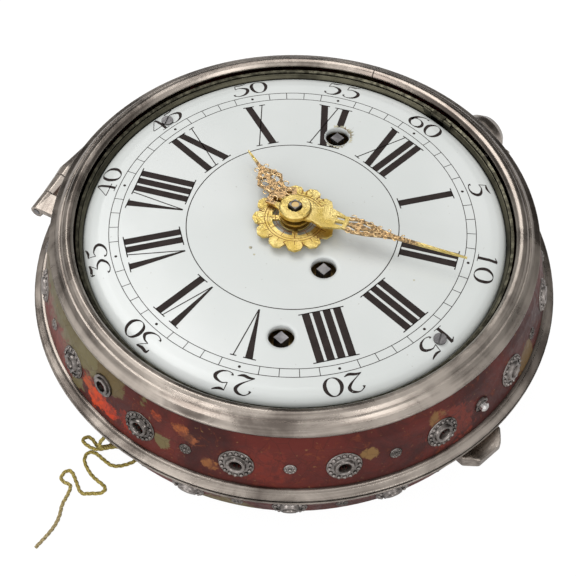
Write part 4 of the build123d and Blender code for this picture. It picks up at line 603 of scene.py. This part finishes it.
def roman(ink, minute, text):
    """A numeral whose letters stand outward, placed by u along it and v from the centre."""
    up, right = numeral_axes(minute)

    def at(u, v):
        return up * v + right * u

    def bar(u0, u1, width0, width1):
        """From the inner end at u0 to the outer end at u1; the ends lie square to the radius."""
        ink.bar([at(u0 - width0 / 2, ROMAN_IN), at(u1 - width1 / 2, ROMAN_OUT)],
                [at(u0 + width0 / 2, ROMAN_IN), at(u1 + width1 / 2, ROMAN_OUT)])

    def serif(u0, u1, v):
        ink.band([at(u0, v - HAIR / 2), at(u1, v - HAIR / 2)],
                 [at(u0, v + HAIR / 2), at(u1, v + HAIR / 2)])

    u = -sum(WIDTHS[c] for c in text) / 2
    first_stem = None
    for i, c in enumerate(text):
        middle = u + WIDTHS[c] / 2
        if c == "I":
            bar(middle, middle, THICK, THICK)
            first_stem = middle if first_stem is None else first_stem
            if i + 1 == len(text) or text[i + 1] != "I":  # stems side by side share their serifs
                for v in (ROMAN_IN, ROMAN_OUT):
                    serif(first_stem - THICK / 2 - SERIF_OVER, middle + THICK / 2 + SERIF_OVER, v)
                first_stem = None
        elif c == "V":
            foot = middle + V_FOOT
            thick, thin = middle - V_WIDTH / 2 + THICK / 2, middle + V_WIDTH / 2
            bar(foot, thick, V_POINT, THICK)
            bar(foot + V_HAIR_OFF, thin, HAIR, HAIR)
            serif(thick - THICK / 2 - SERIF_OVER, thick + THICK / 2 + SERIF_SHORT, ROMAN_OUT)
            serif(thin - SERIF_OVER, thin + SERIF_OVER, ROMAN_OUT)
        else:
            low, high = middle + X_WIDTH / 2 - THICK / 2, middle - X_WIDTH / 2 + THICK / 2
            thin_low, thin_high = middle - X_WIDTH / 2 + X_HAIR_IN, middle + X_WIDTH / 2 - X_HAIR_IN
            bar(low, high, THICK, THICK)
            bar(thin_low, thin_high, HAIR, HAIR)
            for thick, thin, v in ((low, thin_low, ROMAN_IN), (high, thin_high, ROMAN_OUT)):
                serif(thick - THICK / 2 - SERIF_NARROW, thick + THICK / 2 + SERIF_NARROW, v)
                serif(thin - SERIF_OVER, thin + SERIF_OVER, v)
        u += WIDTHS[c]


def oval(x, y, a, b, thin, thick, steps=28):
    """A closed loop round (x, y), a wide and b high each way, thick at its sides."""
    turns = [math.tau * s / steps for s in range(steps + 1)]
    return [(x + a * math.sin(t), y + b * math.cos(t),
             thin + (thick - thin) * abs(math.sin(t)) ** 1.5) for t in turns]


# the strokes of each figure, as (x, y, width) points in a cell DIGIT_WIDE across and 1 high
DIGIT_WIDE = 0.56
DIGITS = {
    "0": [oval(0.30, 0.5, 0.25, 0.47, 0.03, 0.16)],
    "1": [[(0.16, 0.84, 0.03), (0.24, 0.92, 0.05), (0.31, 0.99, 0.06)],
          [(0.31, 1.0, 0.15), (0.31, 0.03, 0.15)], [(0.16, 0.015, 0.03), (0.46, 0.015, 0.03)]],
    "2": [[(0.06, 0.74, 0.13), (0.08, 0.86, 0.05), (0.22, 0.98, 0.04), (0.42, 0.93, 0.11),
           (0.50, 0.76, 0.15), (0.42, 0.55, 0.10), (0.22, 0.28, 0.04), (0.04, 0.06, 0.04)],
          [(0.04, 0.05, 0.03), (0.20, 0.09, 0.12), (0.40, 0.03, 0.13), (0.56, 0.12, 0.03)]],
    "3": [[(0.08, 0.80, 0.04), (0.12, 0.95, 0.10), (0.32, 0.93, 0.12), (0.52, 1.0, 0.04)],
          [(0.52, 0.99, 0.03), (0.26, 0.62, 0.03)],
          [(0.26, 0.62, 0.03), (0.44, 0.58, 0.08), (0.56, 0.38, 0.15), (0.46, 0.12, 0.10),
           (0.26, 0.0, 0.04), (0.08, 0.06, 0.05), (0.06, 0.16, 0.12)]],
    "4": [[(0.40, 1.0, 0.03), (0.02, 0.30, 0.03)], [(0.02, 0.29, 0.035), (0.56, 0.29, 0.035)],
          [(0.42, 1.0, 0.12), (0.42, 0.02, 0.14)], [(0.28, 0.015, 0.03), (0.56, 0.015, 0.03)]],
    "5": [[(0.16, 0.96, 0.04), (0.30, 0.92, 0.10), (0.44, 0.96, 0.08), (0.54, 1.02, 0.03)],
          [(0.17, 0.97, 0.035), (0.13, 0.58, 0.035)],
          [(0.13, 0.58, 0.03), (0.30, 0.64, 0.05), (0.50, 0.50, 0.13), (0.54, 0.30, 0.16),
           (0.42, 0.08, 0.10), (0.22, 0.0, 0.04), (0.07, 0.07, 0.05), (0.06, 0.17, 0.12)]],
    "6": [oval(0.30, 0.30, 0.24, 0.29, 0.03, 0.15),
          [(0.08, 0.32, 0.14), (0.14, 0.66, 0.12), (0.30, 0.90, 0.06), (0.46, 0.99, 0.04),
           (0.52, 0.92, 0.10)]],
    "7": [[(0.06, 0.86, 0.03), (0.10, 0.96, 0.12), (0.54, 0.98, 0.05)],
          [(0.54, 0.98, 0.03), (0.34, 0.5, 0.09), (0.26, 0.02, 0.15)]],
    "8": [oval(0.30, 0.74, 0.19, 0.23, 0.04, 0.13), oval(0.30, 0.25, 0.24, 0.25, 0.04, 0.13)],
    "9": [oval(0.30, 0.70, 0.24, 0.29, 0.03, 0.15),
          [(0.52, 0.68, 0.14), (0.46, 0.34, 0.12), (0.30, 0.10, 0.06), (0.14, 0.01, 0.04),
           (0.08, 0.08, 0.10)]],
}


STRAIGHT_PARTS, CURVE_PARTS = 24, 10  # of a stroke, so that it bends over the dial's edge
INK_SPREAD, INK_LEAST = 1.15, 0.03


def flowing(line):
    """The stroke through (x, y, width) points: straight for two, a Catmull-Rom curve for more."""
    if len(line) < 3:
        return [tuple(p + (q - p) * s / STRAIGHT_PARTS for p, q in zip(*line))
                for s in range(STRAIGHT_PARTS + 1)]
    ends = [line[0], *line, line[-1]]
    made = []
    for a, b, c, d in zip(ends, ends[1:], ends[2:], ends[3:]):
        for s in range(CURVE_PARTS):
            t = s / CURVE_PARTS
            made.append(tuple(
                0.5 * (2 * q + (r - p) * t + (2 * p - 5 * q + 4 * r - w) * t * t
                       + (3 * q - p - 3 * r + w) * t ** 3)
                for p, q, r, w in zip(a, b, c, d)))
    return [*made, line[-1]]


def digits(ink, minute, text, foot, height, stretch, gap):
    """Upright figures in a row across a radius: foot is the radius of their lower ends."""
    up, right = numeral_axes(minute)
    wide = DIGIT_WIDE * stretch
    start = -(wide * len(text) + gap * (len(text) - 1)) / 2
    for i, c in enumerate(text):
        left = start + i * (wide + gap)
        for line in DIGITS[c]:
            ink.stroke([(up * (foot + y * height) + right * (left + x * stretch),
                         max(width * INK_SPREAD, INK_LEAST) * height)
                        for x, y, width in flowing(line)])


INNER_CIRCLE, TRACK_IN, TRACK_OUT = 25.2, 41.2, 43.4
CIRCLE_LINE, TRACK_LINE, MARK_R = 0.22, 0.16, 0.34
ink = Print()
ink.circle(INNER_CIRCLE, CIRCLE_LINE)
ink.circle(TRACK_IN, TRACK_LINE)
ink.circle(TRACK_OUT, TRACK_LINE)
for minute in range(60):
    up, _ = numeral_axes(minute)
    if minute % 5:
        ink.stroke([(up * TRACK_IN, TRACK_LINE), (up * TRACK_OUT, TRACK_LINE)])
    else:
        ink.dot(up * (TRACK_IN + TRACK_OUT) / 2, MARK_R)
for minute, text in ROMANS.items():
    roman(ink, minute, text)
    digits(ink, minute, str(minute), foot=44.1, height=4.7, stretch=7.4, gap=0.7)
black = paint("dial_print", (0.030, 0.022, 0.020), 0.7)
mesh_object("dial_print", ink, black, "movement")

# engraved hours and circles of the alarm disc; the rays between the hours are (radius, width)
DISC_TOP, GRAVING_LIFT = 49.7, 0.015
DISC_CIRCLES = ((7.15, 0.16), (6.5, 0.12), (4.6, 0.14))
OUTER_RAY, INNER_RAY = ((7.2, 0.14), (8.4, 0.10)), ((4.8, 0.10), (5.9, 0.22), (6.4, 0.08))
graving = Print(DISC_TOP + GRAVING_LIFT, Vector((0, 0)))
for radius, width in DISC_CIRCLES:
    graving.circle(radius, width, steps=96)
for hour in range(1, 13):
    digits(graving, hour * 5, str(hour), foot=7.5, height=1.35, stretch=1.7, gap=0.12)
    between, _ = numeral_axes(hour * 5 + 2.5)
    for ray in (OUTER_RAY, INNER_RAY):
        graving.stroke([(between * radius, width) for radius, width in ray])
brown = paint("graving", (0.24, 0.085, 0.018), 0.4)
mesh_object("alarm_disc_graving", graving, brown, "alarm_set")

# ---------------------------------------------------------------- scrollwork on the hands
# fine raised curls: (along the hand, across it, radius, start in degrees, turn in degrees)
HOUR_CURLS = [(6.6, 2.3, 1.2, 200, 300), (6.6, -2.3, 1.2, 160, -300), (9.0, 2.8, 1.1, 220, 310),
              (9.0, -2.8, 1.1, 140, -310), (9.3, 1.1, 1.0, 90, 300), (9.3, -1.1, 1.0, 270, -300),
              (11.5, 2.0, 1.1, 250, 300), (11.5, -2.0, 1.1, 110, -300), (13.6, 2.2, 1.0, 200, 310),
              (13.6, -2.2, 1.0, 160, -310), (14.2, 0.8, 0.85, 90, 300),
              (14.2, -0.8, 0.85, 270, -300), (16.2, 1.4, 0.8, 240, 300),
              (16.2, -1.4, 0.8, 120, -300)]
MINUTE_CURLS = [(13.6, 2.2, 1.0, 230, 300), (13.6, -2.2, 1.0, 130, -300),
                (15.8, 1.3, 0.95, 60, 290), (15.8, -1.3, 0.95, 300, -290),
                (18.0, 1.7, 0.9, 200, 300), (18.0, -1.7, 0.9, 160, -300),
                (20.2, 0.8, 0.8, 60, 290), (20.4, -0.9, 0.8, 300, -290),
                (22.3, 1.1, 0.7, 220, 300), (22.6, -1.1, 0.7, 140, -300),
                (24.6, 0.6, 0.6, 60, 290), (26.2, -0.5, 0.5, 300, -290)]
WIRE_R, WIRE_SIDES, CURL_STEPS = 0.17, 6, 22
CURL_CLOSES, WIRE_THINS = 0.62, 0.35  # shares of its radius and wire that a curl loses inward


def curls(shape, minute, height, plan):
    """Curls of wire along a hand that points to a minute."""
    up, right = numeral_axes(minute)
    for along, across, radius, start, turn in plan:
        rings = []
        for s in range(CURL_STEPS + 1):
            share = s / CURL_STEPS
            a = math.radians(start + turn * share)
            reach = radius * (1 - CURL_CLOSES * share)
            p = up * (along + reach * math.cos(a)) + right * (across + reach * math.sin(a))
            out = (up * math.cos(a) + right * math.sin(a)).to_3d()
            size = WIRE_R * (1 - WIRE_THINS * share)
            rings += [Vector((p.x, p.y, height)) + out * size * math.cos(q)
                      + Vector((0, 0, size * math.sin(q)))
                      for q in (math.tau * k / WIRE_SIDES for k in range(WIRE_SIDES))]
        shape.add(rings, tube_faces(CURL_STEPS + 1, WIRE_SIDES))


# the minute is where the hand points, the height is that of the wire's middle
for name, minute, height, plan, body in (
    ("hour_hand_scrolls", 47.4, 51.32, HOUR_CURLS, "hour"),
    ("minute_hand_scrolls", 10.7, 53.12, MINUTE_CURLS, "minute"),
):
    scrolls = Shape()
    curls(scrolls, minute, height, plan)
    mesh_object(name, scrolls, rose_gilt, body, rounded=True)


# ---------------------------------------------------------------- thumb lip
def softened(node, body, voxel, rounds, material):
    """The CAD piece with its flat sides melted into a cast shape: remeshed, then smoothed."""
    copy = bpy.data.objects.new(node + "_cast", nodes[node].data.copy())
    scene.collection.objects.link(copy)
    grain = copy.modifiers.new("grain", "REMESH")
    grain.mode, grain.voxel_size = "VOXEL", voxel * MM
    melt = copy.modifiers.new("melt", "SMOOTH")
    melt.factor, melt.iterations = 0.5, rounds
    bpy.context.view_layer.update()
    made = bpy.data.meshes.new_from_object(
        copy.evaluated_get(bpy.context.evaluated_depsgraph_get()))
    copy.modifiers.clear()
    copy.data = made
    made.materials.clear()
    made.materials.append(material)
    made.shade_smooth()
    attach(copy, body)
    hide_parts(node)


softened("thumb_lip", "back_case", voxel=0.22, rounds=12, material=finishes["silver"])

# ---------------------------------------------------------------- chips in the enamel
CHIPPED_HOLE, HOLE_RIM = HOLES[0], 3.25
PALE_LIFT, BARE_LIFT = 0.036, 0.044
CHIP_LEAST, CHIP_VARIES = 0.72, 0.28  # the ragged edge, as shares of the chip's size
SPOTS = ((Vector((-10.6, 3.9)), 0.5), (Vector((-1.9, -12.6)), 0.45),
         (Vector((0.2, -13.4)), 0.3), (Vector((31.0, 8.0)), 0.25))


def chip(shape, centre, size, lift, start=0.0, end=math.tau, inner=0.01, steps=40):
    """An uneven spot, or an arc of one from start to end radians outside the radius inner."""
    points = []
    for s in range(steps + 1):
        a = start + (end - start) * s / steps
        ray = Vector((math.cos(a), math.sin(a)))
        reach = size * (CHIP_LEAST + CHIP_VARIES * random.random())
        points += [on_dial(centre + ray * inner, lift), on_dial(centre + ray * reach, lift)]
    shape.add(points, [(2 * i, 2 * i + 1, 2 * i + 3, 2 * i + 2) for i in range(steps)])


pale, bare = Shape(), Shape()
for shape, size, lift, start, end in ((pale, 4.6, PALE_LIFT, 0.2, 2.6),
                                      (pale, 4.0, PALE_LIFT, 4.6, 6.1),
                                      (bare, 3.9, BARE_LIFT, 0.7, 1.9)):
    chip(shape, CHIPPED_HOLE, size, lift, start, end, HOLE_RIM)
for spot, size in SPOTS:
    chip(pale, spot, size, PALE_LIFT)
for shape, name, colour in ((pale, "enamel_chips", (0.52, 0.49, 0.36)),
                            (bare, "enamel_chip_middles", (0.22, 0.14, 0.07))):
    look = paint(name + "_look", colour, 0.6, vary=0.5)
    mesh_object(name, shape, look, "movement")

# ---------------------------------------------------------------- pull cord
# control points of its centre line, the same as the CAD's, from the bush to the bare end
ROUTE = [
    (0, -61.121, 20.761), (0, -63.073, 20.325), (-0.3, -63.4, 17.6), (-1.0, -60.2, 13.6),
    (-3.3, -55.8, 6.6), (-5.1, -52.0, 2.0), (-6.6, -49.9, 0.5), (-9.1, -50.9, 0.5),
    (-7.2, -54.9, 0.5), (-9.2, -58.9, 0.5), (-12.4, -58.0, 0.5), (-13.9, -58.9, 0.7),
    (-13.4, -60.5, 1.1), (-11.6, -60.6, 1.4), (-8.5, -59.9, 1.7), (-6.3, -55.7, 1.5),
    (-3.9, -53.2, 0.6), (-0.6, -52.4, 0.5), (0.1, -54.9, 0.5), (-2.3, -59.5, 0.5),
    (-5.9, -59.9, 0.5), (-9.0, -60.1, 0.5), (-10.2, -61.4, 0.5), (-9.3, -63.4, 0.5),
    (-6.7, -64.4, 0.5), (-3.6, -64.9, 0.5), (0.9, -64.2, 0.5), (1.2, -66.2, 0.5),
    (-0.6, -68.0, 0.5), (-2.2, -70.0, 0.5), (-5.4, -68.7, 0.5), (-9.0, -67.4, 0.5),
    (-9.9, -69.0, 0.5), (-9.0, -71.0, 0.5), (-7.3, -70.8, 0.5), (-5.7, -70.0, 0.5),
    (-4.2, -72.4, 0.5), (-3.2, -75.0, 0.5), (-0.8, -77.6, 0.5), (0.8, -81.4, 0.5),
    (1.5, -86.6, 0.5),
]
CORD_ACROSS = 1.0
STRANDS, STRAND_SIDES = 3, 8
# in metres
TWIST_LENGTH = 4.2 * MM
STRAND_R = CORD_ACROSS / 2 * 0.54 * MM
TWIST_R = CORD_ACROSS / 2 * MM - STRAND_R


def nurbs_points(route):
    """Points along the curve that the CAD's cord follows, in metres."""
    curve = bpy.data.curves.new("cord_line", "CURVE")
    curve.dimensions = "3D"
    curve.resolution_u = 16
    spline = curve.splines.new("NURBS")
    spline.points.add(len(route) - 1)
    for point, where in zip(spline.points, route):
        point.co = (*(Vector(where) * MM), 1)
    spline.order_u = 3
    spline.use_endpoint_u = True
    guide = bpy.data.objects.new("cord_line", curve)
    scene.collection.objects.link(guide)
    bpy.context.view_layer.update()
    drawn = bpy.data.meshes.new_from_object(
        guide.evaluated_get(bpy.context.evaluated_depsgraph_get()))
    points = [v.co.copy() for v in drawn.vertices]
    bpy.data.objects.remove(guide)
    return points


centre_line = nurbs_points(ROUTE)
length = 0.0
side = Vector((1, 0, 0))
stations = []  # point, two directions across the cord and the length so far
for i, p in enumerate(centre_line):
    before, after = centre_line[max(i - 1, 0)], centre_line[min(i + 1, len(centre_line) - 1)]
    length += (p - before).length
    ahead = (after - before).normalized()
    side = (side - ahead * side.dot(ahead)).normalized()
    stations.append((p, side.copy(), ahead.cross(side), length))
strands = Shape()
for strand in range(STRANDS):
    points = []
    for p, x, y, along in stations:
        turn = math.tau * (along / TWIST_LENGTH + strand / STRANDS)
        middle = p + (x * math.cos(turn) + y * math.sin(turn)) * TWIST_R
        for s in range(STRAND_SIDES):
            a = math.tau * s / STRAND_SIDES
            points.append((middle + (x * math.cos(a) + y * math.sin(a)) * STRAND_R) / MM)
    rows = len(stations)
    caps = [tuple(reversed(range(STRAND_SIDES))),
            tuple((rows - 1) * STRAND_SIDES + s for s in range(STRAND_SIDES))]
    strands.add(points, tube_faces(rows, STRAND_SIDES) + caps)
cord = mesh_object("pull_cord_strands", strands, finishes["cord"], "back_case", rounded=True)
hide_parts("pull_cord")

# ---------------------------------------------------------------- floor, light and camera
FLOOR_HALF, FLOOR_Z = 2.0, -0.0002
FLOOR_COLOUR, FLOOR_GLOW, GLOW_SHARE = (0.75, 0.75, 0.75), 1.12, 0.84
floor_mesh = bpy.data.meshes.new("floor")
floor_mesh.from_pydata([(x * FLOOR_HALF, y * FLOOR_HALF, FLOOR_Z)
                        for x, y in ((-1, -1), (1, -1), (1, 1), (-1, 1))], [], [(0, 1, 2, 3)])
floor = bpy.data.objects.new("floor", floor_mesh)
scene.collection.objects.link(floor)
# the floor glows only where the camera sees it, so it stays white and still takes shadows
g = Look("white_floor")
lit = g.node("ShaderNodeBsdfDiffuse")
g.put(lit.inputs["Color"], FLOOR_COLOUR)
glow = g.node("ShaderNodeEmission")
g.put(glow.inputs["Color"], (1, 1, 1))
g.put(glow.inputs["Strength"], FLOOR_GLOW)
share = g.node("ShaderNodeMixShader")
seen = g.node("ShaderNodeLightPath").outputs["Is Camera Ray"]
g.put(share.inputs[0], g.times(seen, GLOW_SHARE))
g.put(share.inputs[1], lit.outputs[0])
g.put(share.inputs[2], glow.outputs[0])
g.put(g.tree.nodes["Material Output"].inputs["Surface"], share.outputs[0])
floor_mesh.materials.append(g.material)

# the world is brighter behind the camera and darker beyond, but the camera itself sees white
BRIGHT_SIDE = (0.24, -0.36, 0.66)
SKY_STOPS = ((0.0, (0.13, 0.127, 0.123, 1)), (0.70, (0.95, 0.95, 0.95, 1)))
SKY_STRENGTH = 1.08
world = bpy.data.worlds.new("studio")
scene.world = world
world.use_nodes = True
sky = Graph(world.node_tree)
facing = sky.node("ShaderNodeVectorMath", operation="DOT_PRODUCT")
sky.put(facing.inputs[0], sky.node("ShaderNodeTexCoord").outputs["Generated"])
sky.put(facing.inputs[1], BRIGHT_SIDE)
ramp = sky.node("ShaderNodeValToRGB")
sky.put(ramp.inputs["Fac"], facing.outputs["Value"])
for stop, (position, colour) in zip(ramp.color_ramp.elements, SKY_STOPS):
    stop.position, stop.color = position, colour
seen = sky.node("ShaderNodeLightPath").outputs["Is Camera Ray"]
background = world.node_tree.nodes["Background"]
sky.put(background.inputs["Color"], sky.mix(seen, ramp.outputs["Color"], (1, 1, 1)))
sky.put(background.inputs["Strength"], SKY_STRENGTH)


def area_light(name, place, size, power):
    """A square light that faces the clock."""
    data = bpy.data.lights.new(name, "AREA")
    data.shape, data.size, data.energy = "SQUARE", size, power
    made = bpy.data.objects.new(name, data)
    made.location = place
    made.rotation_euler = (-Vector(place)).to_track_quat("-Z", "Y").to_euler()
    scene.collection.objects.link(made)


area_light("key", (-0.50, 0.05, 0.95), size=0.6, power=4.8)
area_light("fill_left", (0.10, -0.85, 0.45), size=0.32, power=1.3)
area_light("fill_right", (0.86, -0.16, 0.45), size=0.32, power=1.2)

# fitted to the photograph
SENSOR, LENS = 36, 82.005
CAMERA_PLACE = (0.14101, -0.14007, 0.28700)
CAMERA_AXES = ((0.69378, 0.72016, 0.00585), (-0.57861, 0.55254, 0.59992),
               (0.42881, -0.41960, 0.80004))  # right, up and backward
camera = bpy.data.objects.new("camera", bpy.data.cameras.new("camera"))
camera.data.sensor_width = SENSOR
camera.data.lens = LENS
camera.data.clip_start = 0.01
camera.matrix_world = (Matrix.Translation(CAMERA_PLACE)
                       @ Matrix(CAMERA_AXES).transposed().to_4x4())
scene.collection.objects.link(camera)
scene.camera = camera
scene.view_settings.view_transform = "Standard"
